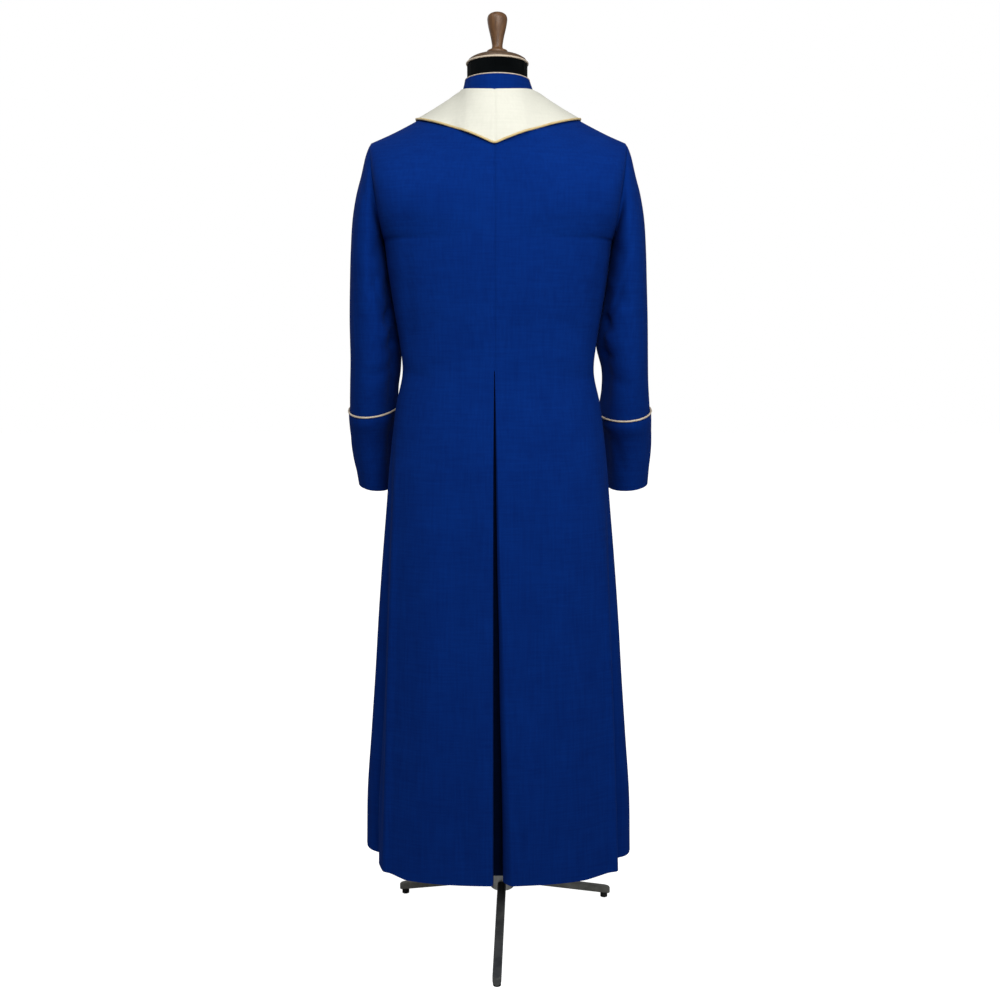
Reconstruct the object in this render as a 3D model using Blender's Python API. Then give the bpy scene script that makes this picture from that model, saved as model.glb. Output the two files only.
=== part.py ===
"""A blue cassock with an ivory cape collar, worn by a limbless dress form on a three-legged stand.

Units are metres. +Z is up, the garment's back faces -Y, and +X is at the viewer's right when seen from behind.
The origin is on the floor, below the middle of the whole object's box. The cloth is a wall whose outer side
follows sections worked out from the tables below, and whose inner side lies WALL inside it.
"""
import math

import bmesh
import bpy
from mathutils import Matrix, Vector

# Cloth
WALL = 0.002            # thickness of every cloth wall
SEAM = 0.0003           # space between two pieces at a seam
SLEEVE_SEAM = 0.0010    # the sleeve's head is set back this far from the armhole
CENTRE_BACK = -0.007    # the centre back seam hangs a little to the left

# The form's axis, seen from the origin below the middle of the box
AXIS = Vector((-0.004, 0.030, 0))

# Neck, shoulder and armhole
NECK_X = 0.0655         # half width of the neckline
NECK_BACK = 0.067       # its depth behind the axis
NECK_FRONT = 0.085      # its depth before the axis
NECK_SIDE_Z = 1.616
NECK_DROP = {"back": 0.009, "front": 0.031}
TIP_X = 0.237           # shoulder tip
TIP_Z = 1.5235
SHOULDER_DIP = 0.004    # the shoulder seam hollows between neck and tip
UNDERARM_X = 0.212
UNDERARM_Z = 1.346
ARMHOLE_DEPTH = {"back": 0.070, "front": 0.075}
YOKE_ROWS = 8           # rows of the wall from the shoulder seam to the underarm
ROUNDING = 0.9          # under 1 makes the sections fuller than an ellipse
TOP_FADE = 3.5          # how fast the shoulder line's bow fades downward
LOW_FADE = 1.6          # and how fast the chest's fades upward

# Sections from the underarm to the hem: half width, depth behind and before the axis, and where the left
# and the right edge of the open back pleat hang
SECTION_COLUMNS = ("height", "half_width", "back", "front", "pleat_left", "pleat_right")
SECTIONS = [dict(zip(SECTION_COLUMNS, row)) for row in (
    (UNDERARM_Z, UNDERARM_X, 0.118, 0.128, None, None),
    (1.282, 0.2050, 0.114, 0.124, None, None),
    (1.223, 0.1965, 0.107, 0.119, None, None),
    (1.163, 0.1870, 0.098, 0.112, None, None),
    (1.103, 0.1815, 0.094, 0.108, -0.0074, -0.0066),
    (1.042, 0.1940, 0.100, 0.112, -0.0080, -0.0055),
    (0.981, 0.2020, 0.107, 0.117, -0.0085, -0.0045),
    (0.919, 0.2090, 0.112, 0.121, -0.0090, -0.0035),
    (0.857, 0.2140, 0.115, 0.126, -0.0092, -0.0025),
    (0.740, 0.2240, 0.118, 0.135, -0.0094, -0.0005),
    (0.620, 0.2330, 0.120, 0.145, -0.0095, 0.0028),
    (0.500, 0.2405, 0.123, 0.156, -0.0095, 0.0047),
    (0.378, 0.2490, 0.126, 0.168, -0.0095, 0.0080),
    (0.254, 0.2576, 0.128, 0.182, -0.0095, 0.0110),
    (0.135, 0.2600, 0.130, 0.1960, -0.0095, 0.0125),
)]

# Folds of the skirt, by the angle from the centre back round to the centre front. They start at FOLD_TOP
# and are deepest at the hem, where `depth` is how far each stands out
FOLD_TOP = 1.06
FOLD_COLUMNS = ("angle", "spread", "depth")
FOLDS = [dict(zip(FOLD_COLUMNS, row)) for row in (
    (61, 7, 0.006),
    (75, 8, -0.014),
    (101, 12, 0.008),
    (121, 9, -0.012),
    (140, 10, 0.008),
)]

# Columns of the wall, in degrees from the centre back or the centre front to the side seam
NECK_TURNS = (0, 22.5, 45, 67.5, 90)
NECK_SHARES = [NECK_X / TIP_X * math.sin(math.radians(turn)) for turn in NECK_TURNS]
TURNS = [math.degrees(math.asin(share ** (1 / ROUNDING))) for share in NECK_SHARES]
TURNS += [21, 30, 40, 50, 59, 67, 75, 82, 90]

# The return of the back pleat, from its folded edge to its far end
PLEAT_ROUND = 0.003     # the folded edge is about this round
PLEAT_DEPTH = 0.008     # how far the return lies inside the outer side of the back at the pleat's top
PLEAT_DEEPER = 0.020    # and how much further at the hem
PLEAT_RETURN = 0.055    # how far it reaches to the side
UNDERLAY_GAP = 0.0006
RETURN_COLUMNS = 4      # columns of the wall that only the return has

# Rings of the sleeve from the armhole down, with the places of the outer and of the inner edge. `lean` is
# how much a ring rises for each metre forward, since the forearm hangs forward
SLEEVE_COLUMNS = ("outer_x", "outer_z", "inner_x", "inner_z", "middle_y", "half_depth", "left_in", "lean")
SLEEVE = [dict(zip(SLEEVE_COLUMNS, row)) for row in (
    (0.2455, 1.5020, 0.2200, 1.3390, 0.000, 0.074, 0.000, 0.00),
    (0.2545, 1.4660, 0.2195, 1.3200, 0.000, 0.077, 0.000, 0.00),
    (0.2645, 1.4295, 0.2155, 1.2950, 0.000, 0.078, 0.000, 0.00),
    (0.2725, 1.3850, 0.2090, 1.2650, 0.001, 0.077, 0.000, 0.00),
    (0.2770, 1.3300, 0.2025, 1.2330, 0.003, 0.075, 0.000, 0.00),
    (0.2800, 1.2700, 0.1970, 1.1960, 0.006, 0.072, 0.000, 0.00),
    (0.2835, 1.2000, 0.1920, 1.1530, 0.011, 0.068, 0.001, 0.04),
    (0.2860, 1.1300, 0.1920, 1.1080, 0.018, 0.064, 0.003, 0.10),
    (0.2885, 1.0850, 0.1945, 1.0700, 0.028, 0.061, 0.003, 0.18),
    (0.2930, 1.0400, 0.1990, 1.0320, 0.039, 0.058, 0.005, 0.26),
    (0.2950, 1.0120, 0.2015, 1.0050, 0.046, 0.057, 0.007, 0.28),
)]
CUFF_START = 0.45       # the cuff begins this far between the sleeve's last two rings
CUFF = [dict(zip(SLEEVE_COLUMNS, row)) for row in (
    (0.2970, 0.9850, 0.2060, 0.9800, 0.0610, 0.0550, 0.0095, 0.27),
    (0.2975, 0.9400, 0.2090, 0.9350, 0.0780, 0.0530, 0.0140, 0.23),
    (0.2960, 0.8820, 0.2110, 0.8760, 0.0960, 0.0510, 0.0190, 0.18),
)]
LEFT_INNER = 0.3        # share of `left_in` by which the left sleeve's inner edge moves too
CUFF_LIFT = 0.0028      # the cuff lies round the sleeve
CUFF_PIPING = 0.00175   # radius

# Stand collar and the cape collar that lies on the shoulders
STAND_TOP = 1.636
STAND_TOP_X = 0.0600
STAND_TOP_BACK = 0.0680
STAND_TOP_FRONT = 0.0750
STAND_OPENING = 0.0015  # half the opening at the centre front
STAND_PIPING = 0.00125
CAPE_POINT_Z = 1.504    # the point at the centre back
CAPE_SIDE_X = 0.152     # where its edge crosses the shoulder
CAPE_BOW = 0.003        # its back edge bows up this much
CAPE_FRONT_X = 0.085    # the plain point at the front
CAPE_FRONT_Z = 1.430
CAPE_ROWS = 5           # rows of its wall from the neck to the edge
CAPE_LIFT = 0.0024      # it lies this far off the coat at its edges
CAPE_LOFT = 0.0046      # and this much further at the middle of its width
CAPE_PIPING = 0.0022
CAPE_RAISE = 0.0012     # the piping's middle stands this far above the collar's outer side

# The dress form
FORM_CLEAR = 0.0022     # space between the form and the cloth at the shoulders
FORM_SPACE = 0.006      # and at the chest
FORM_HIP_SPACE = 0.034  # and at its lower edge
FORM_SECTIONS = 8       # it stops at this section of the coat
FORM_X = -0.002
MERGE = 0.0004          # points of the back and front rings closer than this are one
CAP_INSET = 0.0015
NECK_RADIUS = (0.0558, 0.0650)
NECK_Y = 0.003
NECK_TOP = 1.6655
NECK_BASE = 1.6260      # the neck is a true oval from here up
BRAID_Z = 1.668
BRAID_RADIUS = 0.0017
FINIAL = ((1.6885, 0.0185), (1.6905, 0.0190), (1.6925, 0.0165), (1.6945, 0.0120), (1.6985, 0.0098),
          (1.7080, 0.0108), (1.7200, 0.0133), (1.7320, 0.0162), (1.7420, 0.0180), (1.7490, 0.0183),
          (1.7545, 0.0160), (1.7582, 0.0105), (1.7600, 0.0))

# The stand
STAND_X = 0.0075
POLE_RADIUS = 0.0125
HUB_RADIUS = 0.0235
HUB_BOTTOM = 0.075
HUB_TOP = 0.125
LEG_REACH = 0.256       # from the axis to the tip
LEG_WIDTH = 0.0165
LEG_THICK = 0.0140
LEG_RISE = 0.095        # height of the leg's middle line at the axis
LEG_DROP = 0.0120       # and at its tip
LEG_TURN = -2.35        # degrees
PAD_RADIUS = 0.0075
PAD_INSET = 0.0135
LEG_NAMES = ("near", "right", "left")

SIDES = {"left": -1, "right": 1}

for thing in list(bpy.data.objects):
    bpy.data.objects.remove(thing, do_unlink=True)

cassock = bpy.data.collections.new("cassock")
bpy.context.scene.collection.children.link(cassock)


def material(name, colour, roughness, metallic=0.0, sheen=0.0):
    """A plain Principled material of the piece's own colour."""
    finish = bpy.data.materials.new(name)
    finish.use_nodes = True
    shader = finish.node_tree.nodes["Principled BSDF"]
    shader.inputs["Base Color"].default_value = (*colour, 1.0)
    shader.inputs["Roughness"].default_value = roughness
    shader.inputs["Metallic"].default_value = metallic
    shader.inputs["Sheen Weight"].default_value = sheen
    return finish


BLUE = material("blue wool", (0.002, 0.024, 0.180), 0.85, sheen=0.3)
IVORY = material("ivory wool", (0.86, 0.85, 0.76), 0.80, sheen=0.2)
GOLD = material("gold cord", (0.62, 0.45, 0.16), 0.60)
CHAMPAGNE = material("champagne cord", (0.70, 0.52, 0.36), 0.60)
VELVET = material("black velvet", (0.004, 0.005, 0.006), 0.95, sheen=0.6)
WOOD = material("turned wood", (0.16, 0.085, 0.040), 0.35)
STEEL = material("grey metal", (0.16, 0.16, 0.15), 0.35, metallic=0.9)
RUBBER = material("black rubber", (0.01, 0.01, 0.01), 0.80)


def add(name, mesh, finish):
    """Put one named piece into the collection."""
    mesh.materials.append(finish)
    mesh.transform(Matrix.Translation(AXIS))
    piece = bpy.data.objects.new(name, mesh)
    cassock.objects.link(piece)
    return piece


def mix(a, b, share):
    """The value or point at `share` of the way from a to b."""
    return a + (b - a) * share


def shoulder_z(x):
    """Height of the shoulder seam at a distance x from the middle."""
    along = (x - NECK_X) / (TIP_X - NECK_X)
    return mix(NECK_SIDE_Z, TIP_Z, along) - SHOULDER_DIP * math.sin(math.pi * along)


def half_facts(half):
    """(sign of Y, neck depth, middle line's X) of the back or the front half."""
    return (-1, NECK_BACK, CENTRE_BACK) if half == "back" else (1, NECK_FRONT, 0.0)


def neckline(half, side, turn):
    """A point of the neckline, `turn` radians from its middle to its side."""
    sign, depth, middle = half_facts(half)
    height = NECK_SIDE_Z - NECK_DROP[half] * math.cos(turn) ** 2
    return Vector((middle * math.cos(turn) + side * NECK_X * math.sin(turn), sign * depth * math.cos(turn), height))


def shoulder_line(half, side, share):
    """The upper edge of a panel: the neckline, then the shoulder seam out to the tip at a share of 1."""
    x = TIP_X * share
    if x < NECK_X - 1e-7:
        return neckline(half, side, math.asin(x / NECK_X))
    return Vector((side * x, 0, shoulder_z(x)))


def middle_line(half, share):
    """The middle of the back or front, from the neckline down to the underarm's height."""
    sign, depth, middle = half_facts(half)
    low = SECTIONS[0]
    bulge = 1 - (1 - share) ** 2.2
    top = NECK_SIDE_Z - NECK_DROP[half]
    return Vector((middle, sign * mix(depth, low[half], bulge), mix(top, low["height"], share)))


def armhole(half, side, share):
    """The armhole seam, from the shoulder tip down to the underarm."""
    turn = math.pi * share
    sign = half_facts(half)[0]
    x = mix(UNDERARM_X, TIP_X, 0.5 + 0.5 * math.cos(turn))
    z = mix(UNDERARM_Z, TIP_Z, 0.5 + 0.5 * math.cos(turn))
    return Vector((side * x, sign * ARMHOLE_DEPTH[half] * math.sin(turn), z))


def fold_push(height, angle):
    """How far the skirt's folds push its wall outward."""
    growth = max(0.0, (FOLD_TOP - height) / (FOLD_TOP - SECTIONS[-1]["height"]))
    bumps = (fold["depth"] * math.exp(-((angle - fold["angle"]) / fold["spread"]) ** 2) for fold in FOLDS)
    return growth * sum(bumps)


def section_point(section, half, side, turn):
    """A point of a section below the underarm, `turn` degrees from the middle to the side seam."""
    sign, _, middle = half_facts(half)
    sine = math.sin(math.radians(turn)) ** ROUNDING
    cosine = max(0.0, math.cos(math.radians(turn))) ** ROUNDING
    push = fold_push(section["height"], turn if half == "back" else 180 - turn)
    outward = Vector((math.sin(math.radians(turn)) * side, sign * math.cos(math.radians(turn)), 0))
    point = Vector((middle * cosine + side * section["half_width"] * sine, sign * section[half] * cosine,
                    section["height"]))
    return point + outward * push


def yoke_point(half, side, share, down):
    """A point between the shoulder line and the underarm, blended from the four edges of that patch."""
    top = shoulder_line(half, side, share)
    if down == 0:
        return top
    if share == 1:
        return armhole(half, side, down)
    turn = math.degrees(math.asin(min(1.0, share ** (1 / ROUNDING))))
    low = SECTIONS[0]
    top_bow = top - mix(shoulder_line(half, side, 0), shoulder_line(half, side, 1), share)
    low_bow = section_point(low, half, side, turn) - mix(section_point(low, half, side, 0),
                                                         section_point(low, half, side, 90), share)
    across = mix(middle_line(half, down), armhole(half, side, down), share)
    return across + top_bow * (1 - down) ** TOP_FADE + low_bow * (1 - (1 - down) ** LOW_FADE)


def pleat_depth(section):
    """How far the return lies inside the outer side of the back at one height."""
    hem = SECTIONS[-1]["height"]
    fall = max(0.0, (FOLD_TOP - section["height"]) / (FOLD_TOP - hem))
    return PLEAT_DEPTH + PLEAT_DEEPER * fall ** 1.2


def pleat_columns(section, side):
    """The return of the back pleat at one height: its far end first, then inward to the folded edge."""
    edge = section["pleat_left" if side < 0 else "pleat_right"]
    depth = pleat_depth(section)
    steps = ((PLEAT_RETURN, depth), (PLEAT_RETURN / 2, depth), (PLEAT_ROUND, depth), (0.0, depth / 2),
             (PLEAT_ROUND, 0.0))
    return [Vector((edge + side * out, -section["back"] + inside, section["height"])) for out, inside in steps]


def panel_grid(half, side):
    """Rows of outer points of one panel, from the shoulder down to the hem; None where there is no cloth."""
    shares = [math.sin(math.radians(turn)) ** ROUNDING for turn in TURNS]
    rows = [[yoke_point(half, side, share, row / YOKE_ROWS) for share in shares] for row in range(YOKE_ROWS)]
    rows += [[section_point(section, half, side, turn) for turn in TURNS] for section in SECTIONS]
    if half == "front":
        return rows
    rows = [[None] * RETURN_COLUMNS + row for row in rows]
    for row, section in zip(rows[YOKE_ROWS:], SECTIONS):
        if section["pleat_left"] is not None:
            row[:RETURN_COLUMNS + 1] = pleat_columns(section, side)
    return rows


def between(ring, after, share):
    """A ring of the sleeve part of the way to the one after it."""
    return {column: mix(ring[column], after[column], share) for column in SLEEVE_COLUMNS}


def sleeve_ring(ring, side, grow=0.0):
    """Points of one ring of a sleeve or cuff, from the outer edge round the back."""
    shift = ring["left_in"] if side < 0 else 0.0
    outer = Vector((ring["outer_x"] - shift, 0, ring["outer_z"]))
    inner = Vector((ring["inner_x"] - shift * LEFT_INNER, 0, ring["inner_z"]))
    centre = (outer + inner) / 2
    reach = (outer - inner) / 2
    reach = reach * (1 + grow / reach.length)
    count = 2 * YOKE_ROWS
    points = []
    for step in range(count):
        turn = 2 * math.pi * step / count
        point = centre + reach * math.cos(turn)
        forward = -(ring["half_depth"] + grow) * math.sin(turn)
        points.append(Vector((side * point.x, ring["middle_y"] + forward, point.z + ring["lean"] * forward)))
    return points


def sleeve_grid(side):
    """The sleeve's rings, the first on the armhole seam."""
    back = [armhole("back", side, row / YOKE_ROWS) for row in range(YOKE_ROWS + 1)]
    front = [armhole("front", side, row / YOKE_ROWS) for row in range(YOKE_ROWS - 1, 0, -1)]
    return [back + front] + [sleeve_ring(ring, side) for ring in SLEEVE]


def cells_of(grid, closed):
    """Row and column of each cell whose four corners have cloth."""
    width = len(grid[0])
    for row in range(len(grid) - 1):
        for column in range(width if closed else width - 1):
            after = (column + 1) % width
            corners = [(row, column), (row + 1, column), (row + 1, after), (row, after)]
            if all(grid[r][c] is not None for r, c in corners):
                yield corners


def key(point):
    """The place of a point to a hundredth of a millimetre, so that two panels find their common points."""
    return tuple(round(value * 1e5) for value in point)


def gather_normals(grids):
    """The outward direction at each point, shared by all the panels that meet there."""
    sums = {}
    for grid, closed, flipped in grids:
        for corners in cells_of(grid, closed):
            points = [grid[r][c] for r, c in corners]
            normal = (points[2] - points[0]).cross(points[3] - points[1]).normalized()
            if flipped:
                normal = -normal
            for point in points:
                sums[key(point)] = sums.get(key(point), Vector()) + normal
    return {place: total.normalized() for place, total in sums.items()}


def trimmed(grid, closed, top, sides):
    """The grid with its sewn edges pulled in, half a seam each, and a tube's end by a whole one."""
    moves = {}

    def pull(row, column, towards):
        space = SLEEVE_SEAM if closed else SEAM / 2
        step = (grid[towards[0]][towards[1]] - grid[row][column]).normalized() * space
        moves[row, column] = moves.get((row, column), Vector()) + step

    if top:
        for column, point in enumerate(grid[0]):
            if point is not None:
                pull(0, column, (1, column))
    if sides and not closed:
        for row, points in enumerate(grid):
            first = next(column for column, point in enumerate(points) if point is not None)
            if first or grid[0][0] is not None:
                pull(row, first, (row, first + 1))
            pull(row, len(points) - 1, (row, len(points) - 2))
    return [[None if point is None else point + moves.get((row, column), Vector())
             for column, point in enumerate(points)] for row, points in enumerate(grid)]


def wall(name, grid, normals, finish, closed=False, flipped=False, top=True, sides=True):
    """A closed solid: the grid's outer side, the same moved WALL inside, and the edges between them."""
    outside = trimmed(grid, closed, top, sides)
    body = bmesh.new()
    outer, inner = {}, {}
    edges = {}
    for corners in cells_of(grid, closed):
        if flipped:
            corners = corners[::-1]
        for r, c in corners:
            if (r, c) not in outer:
                outer[r, c] = body.verts.new(outside[r][c])
                inner[r, c] = body.verts.new(outside[r][c] - normals[key(grid[r][c])] * WALL)
        for half in (corners[:3], (corners[2], corners[3], corners[0])):
            body.faces.new([outer[corner] for corner in half])
            body.faces.new([inner[corner] for corner in reversed(half)])
        edges.update(dict.fromkeys(zip(corners, corners[1:] + corners[:1])))
    for start, end in edges:
        if (end, start) in edges:
            continue
        if key(grid[start[0]][start[1]]) < key(grid[end[0]][end[1]]):
            body.faces.new([outer[end], outer[start], inner[end]])
            body.faces.new([outer[start], inner[start], inner[end]])
        else:
            body.faces.new([outer[end], outer[start], inner[start]])
            body.faces.new([outer[end], inner[start], inner[end]])
    mesh = bpy.data.meshes.new(name)
    body.to_mesh(mesh)
    body.free()
    mesh.shade_smooth()
    mesh.set_sharp_from_angle(angle=math.radians(50))
    return add(name, mesh, finish)


def stack(name, rings, finish):
    """A closed solid through rings of points, capped flat at both ends. A ring of one point is a tip."""
    body = bmesh.new()
    rows = [[body.verts.new(point) for point in ring] for ring in rings]
    for low, high in zip(rows, rows[1:]):
        count = max(len(low), len(high))
        for step in range(count):
            after = (step + 1) % count
            corners = [low[step % len(low)], low[after % len(low)], high[after % len(high)], high[step % len(high)]]
            body.faces.new(list(dict.fromkeys(corners)))
    if len(rows[0]) > 2:
        body.faces.new(rows[0][::-1])
    if len(rows[-1]) > 2:
        body.faces.new(rows[-1])
    mesh = bpy.data.meshes.new(name)
    body.to_mesh(mesh)
    body.free()
    mesh.shade_smooth()
    mesh.set_sharp_from_angle(angle=math.radians(40))
    return add(name, mesh, finish)


def oval(x, y, z, half_x, half_y, count=24):
    """A level ring of points, anticlockwise from above."""
    turns = [2 * math.pi * step / count for step in range(count)]
    return [Vector((x + half_x * math.cos(turn), y + half_y * math.sin(turn), z)) for turn in turns]


def cord(name, points, radius, finish, closed=False):
    """A piping: a round cord along a line of points."""
    line = bpy.data.curves.new(name, "CURVE")
    line.dimensions = "3D"
    line.bevel_depth = radius
    line.bevel_resolution = 1
    line.use_fill_caps = not closed
    spline = line.splines.new("POLY")
    spline.points.add(len(points) - 1)
    for place, point in zip(spline.points, points):
        place.co = (*(point + AXIS), 1.0)
    spline.use_cyclic_u = closed
    line.materials.append(finish)
    piece = bpy.data.objects.new(name, line)
    cassock.objects.link(piece)
    return piece


def coat_skin():
    """Every outer grid of the coat, with its name and how its faces turn."""
    skin = {}
    for label, side in SIDES.items():
        for half in ("back", "front"):
            skin[f"{half}_{label}"] = (panel_grid(half, side), False, (side < 0) != (half == "front"))
        skin[f"sleeve_{label}"] = (sleeve_grid(side), True, side > 0)
    return skin


def build_coat(skin, normals):
    """Backs, fronts and sleeves."""
    for name, (grid, closed, flipped) in skin.items():
        wall(name, grid, normals, BLUE, closed, flipped)


def build_underlay():
    """The cloth at the bottom of the back pleat, behind its two returns."""
    grid = []
    for section in SECTIONS:
        if section["pleat_left"] is not None:
            inset = pleat_depth(section) + UNDERLAY_GAP
            left = section["pleat_left"] - PLEAT_RETURN
            right = section["pleat_right"] + PLEAT_RETURN
            grid.append([Vector((mix(left, right, step / 4), -section["back"] + inset, section["height"]))
                         for step in range(5)])
    wall("pleat_underlay", grid, gather_normals([(grid, False, False)]), BLUE, top=False, sides=False)


def build_cuffs():
    """Cuffs laid round the ends of the sleeves, and the piping along their upper edges."""
    first = between(SLEEVE[-2], SLEEVE[-1], CUFF_START)
    rise = (CUFF_PIPING + 2 * SEAM) / (SLEEVE[-2]["outer_z"] - SLEEVE[-1]["outer_z"])
    above = between(SLEEVE[-2], SLEEVE[-1], CUFF_START - rise)
    for label, side in SIDES.items():
        grid = [sleeve_ring(ring, side, CUFF_LIFT) for ring in [first, SLEEVE[-1]] + CUFF]
        normals = gather_normals([(grid, True, side > 0)])
        wall(f"cuff_{label}", grid, normals, BLUE, closed=True, flipped=side > 0, top=False)
        line = sleeve_ring(above, side, CUFF_PIPING + 2 * SEAM)
        cord(f"cuff_piping_{label}", line, CUFF_PIPING, CHAMPAGNE, closed=True)


def neck_turns():
    """Places round the neckline, as (half, side, turn), from the left of the front opening to its right."""
    steps = [math.radians(turn) for turn in NECK_TURNS]
    places = [("front", -1, turn) for turn in steps]
    places += [("back", -1, turn) for turn in steps[-2::-1]]
    places += [("back", 1, turn) for turn in steps[1:]]
    return places + [("front", 1, turn) for turn in steps[-2::-1]]


def stand_top(half, side, turn):
    """A point of the stand collar's upper edge."""
    sign = half_facts(half)[0]
    depth = STAND_TOP_BACK if half == "back" else STAND_TOP_FRONT
    out = STAND_TOP_X * math.sin(turn)
    if half == "front":
        out = max(out, STAND_OPENING)
    return Vector((FORM_X + side * out, sign * depth * math.cos(turn), STAND_TOP))


def stand_ring(share):
    """Points of the stand collar at a share of its height, from one front edge round the back to the other."""
    ring = []
    places = neck_turns()
    lows = []
    for half, side, turn in places:
        opening = side * STAND_OPENING if turn == 0 and half == "front" else 0
        lows.append(neckline(half, side, turn) + Vector((opening, 0, 2 * SEAM)))
    for index, (half, side, turn) in enumerate(places):
        ring.append(mix(lows[index], stand_top(half, side, turn), share))
        if index + 1 < len(places):
            half, side, after = places[index + 1]
            middle = stand_top(half, side, (turn + after) / 2)
            ring.append(mix(mix(lows[index], lows[index + 1], 0.5), middle, share))
    return ring


def build_stand_collar():
    """The stand collar and the piping on its upper edge."""
    grid = [stand_ring(share) for share in (1.0, 0.5, 0.0)]
    wall("stand_collar", grid, gather_normals([(grid, False, False)]), BLUE, top=False, sides=False)
    centre = Vector((FORM_X, 0, STAND_TOP))
    rise = Vector((0, 0, STAND_PIPING + SEAM))
    line = [point + (centre - point).normalized() * (WALL / 2) + rise for point in grid[0]]
    cord("stand_collar_piping", line, STAND_PIPING, CHAMPAGNE)


def on_yoke(half, side, x, z):
    """(share, down) of the yoke's point that has this distance from the middle and this height."""
    share, down = 0.5, 0.3
    small = 1e-4
    for _ in range(30):
        here = yoke_point(half, side, share, down)
        along = (yoke_point(half, side, share + small, down) - here) / small
        below = (yoke_point(half, side, share, down + small) - here) / small
        miss_x, miss_z = x - here.x, z - here.z
        size = along.x * below.z - below.x * along.z
        share += (miss_x * below.z - miss_z * below.x) / size
        down += (along.x * miss_z - along.z * miss_x) / size
        share = min(max(share, 0.0), 0.97)
        down = min(max(down, 0.0), 0.97)
    return share, down


def cape_lines(half, side):
    """Lines across the cape collar from the neck to its edge, as pairs of (share, down) on the yoke."""
    neck = NECK_X / TIP_X
    lines = []
    if half == "back":
        count = 9
        middle = CENTRE_BACK
        for step in range(count + 1):
            out = step / count
            x = CAPE_SIDE_X * out
            z = mix(CAPE_POINT_Z, shoulder_z(CAPE_SIDE_X), out) + CAPE_BOW * math.sin(math.pi * out)
            edge = on_yoke(half, side, middle * (1 - out) + side * x, z) if step < count else (CAPE_SIDE_X / TIP_X, 0.0)
            edge = (0.0, edge[1]) if step == 0 else edge
            lines.append(((neck * math.sin(math.pi / 2 * out), 0.0), edge))
        return lines
    count = 8
    for step in range(count + 1):
        out = step / count
        x = mix(CAPE_FRONT_X, CAPE_SIDE_X, out)
        z = mix(CAPE_FRONT_Z, shoulder_z(CAPE_SIDE_X), out) + 2 * CAPE_BOW * math.sin(math.pi * out)
        edge = on_yoke(half, side, side * x, z) if step < count else (CAPE_SIDE_X / TIP_X, 0.0)
        lines.append(((neck * math.sin(math.pi / 2 * (0.12 + 0.88 * out)), 0.0), edge))
    return lines


def yoke_normal(half, side, share, down):
    """The outward direction of the yoke, averaged over the shoulder seam."""
    small = 1e-3
    if down == 0.0 and share >= NECK_X / TIP_X:
        both = [yoke_normal(each, side, share, small) for each in ("back", "front")]
        return (both[0] + both[1]).normalized()
    low = max(down, small)
    here = yoke_point(half, side, share, low)
    along = yoke_point(half, side, share + small, low) - here
    below = yoke_point(half, side, share, low + small) - here
    normal = below.cross(along).normalized()
    return -normal if (side < 0) != (half == "front") else normal


def cape_column(half, side, line):
    """Outer points of the cape collar along one of its lines."""
    (share_0, down_0), (share_1, down_1) = line
    points = []
    for row in range(CAPE_ROWS + 1):
        out = row / CAPE_ROWS
        share, down = mix(share_0, share_1, out), mix(down_0, down_1, out)
        lift = WALL + CAPE_LIFT + CAPE_LOFT * max(0.0, math.sin(math.pi * out)) ** 0.5
        normal = yoke_normal(half, side, share, down)
        if share == 0.0:
            normal = Vector((0, normal.y, normal.z)).normalized()
        points.append(yoke_point(half, side, share, down) + normal * lift)
    return points


def build_cape_collar():
    """The cape collar, from one front opening over the shoulders and the back to the other, and its piping."""
    columns = []
    for side in (-1, 1):
        front = [cape_column("front", side, line) for line in cape_lines("front", side)[:-1]]
        back = [cape_column("back", side, line) for line in cape_lines("back", side)]
        half = front + back[::-1]
        columns += half if side < 0 else half[::-1][1:]
    grid = [list(row) for row in zip(*columns)]
    normals = gather_normals([(grid, False, False)])
    wall("cape_collar", grid, normals, IVORY, top=False, sides=False)
    rim = [row[0] for row in grid[:-1]] + grid[-1] + [row[-1] for row in grid[-2::-1]]
    line = []
    for index, edge in enumerate(rim):
        before, after = rim[max(0, index - 1)], rim[min(len(rim) - 1, index + 1)]
        up = normals[key(edge)]
        arriving, leaving = (edge - before).normalized(), (after - edge).normalized()
        outward = (arriving + leaving).cross(up).normalized()
        bend = arriving.dot(leaving) if 0 < index < len(rim) - 1 else 1
        mitre = max(0.4, math.sqrt((1 + bend) / 2))
        line.append(edge + outward * (CAPE_PIPING + 2 * SEAM) / mitre + up * CAPE_RAISE)
    cord("cape_collar_piping", line, CAPE_PIPING, GOLD)


def form_ring(skin, normals, row):
    """One ring of the dress form, anticlockwise from above: the coat's own ring, moved inside."""
    section = row - YOKE_ROWS
    if section <= 0:
        space = mix(FORM_CLEAR, FORM_SPACE, min(1.0, 2 * row / YOKE_ROWS))
    else:
        space = mix(FORM_SPACE, FORM_HIP_SPACE, section / FORM_SECTIONS)
    ring = []
    for half, label, forward in (("back", "right", True), ("front", "right", False),
                                 ("front", "left", True), ("back", "left", False)):
        line = skin[f"{half}_{label}"][0][row][-len(TURNS):]
        moved = []
        for step, point in enumerate(line):
            inward = normals[key(point)]
            if section > 0:
                inward = Vector((inward.x, inward.y, 0)).normalized()
            if step == 0:
                inward = Vector((0, inward.y, inward.z)).normalized()
                point = Vector((half_facts(half)[2], point.y, point.z))
            moved.append(point - inward * (WALL + space))
        ring += moved if forward else moved[::-1]
    return ring


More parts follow.
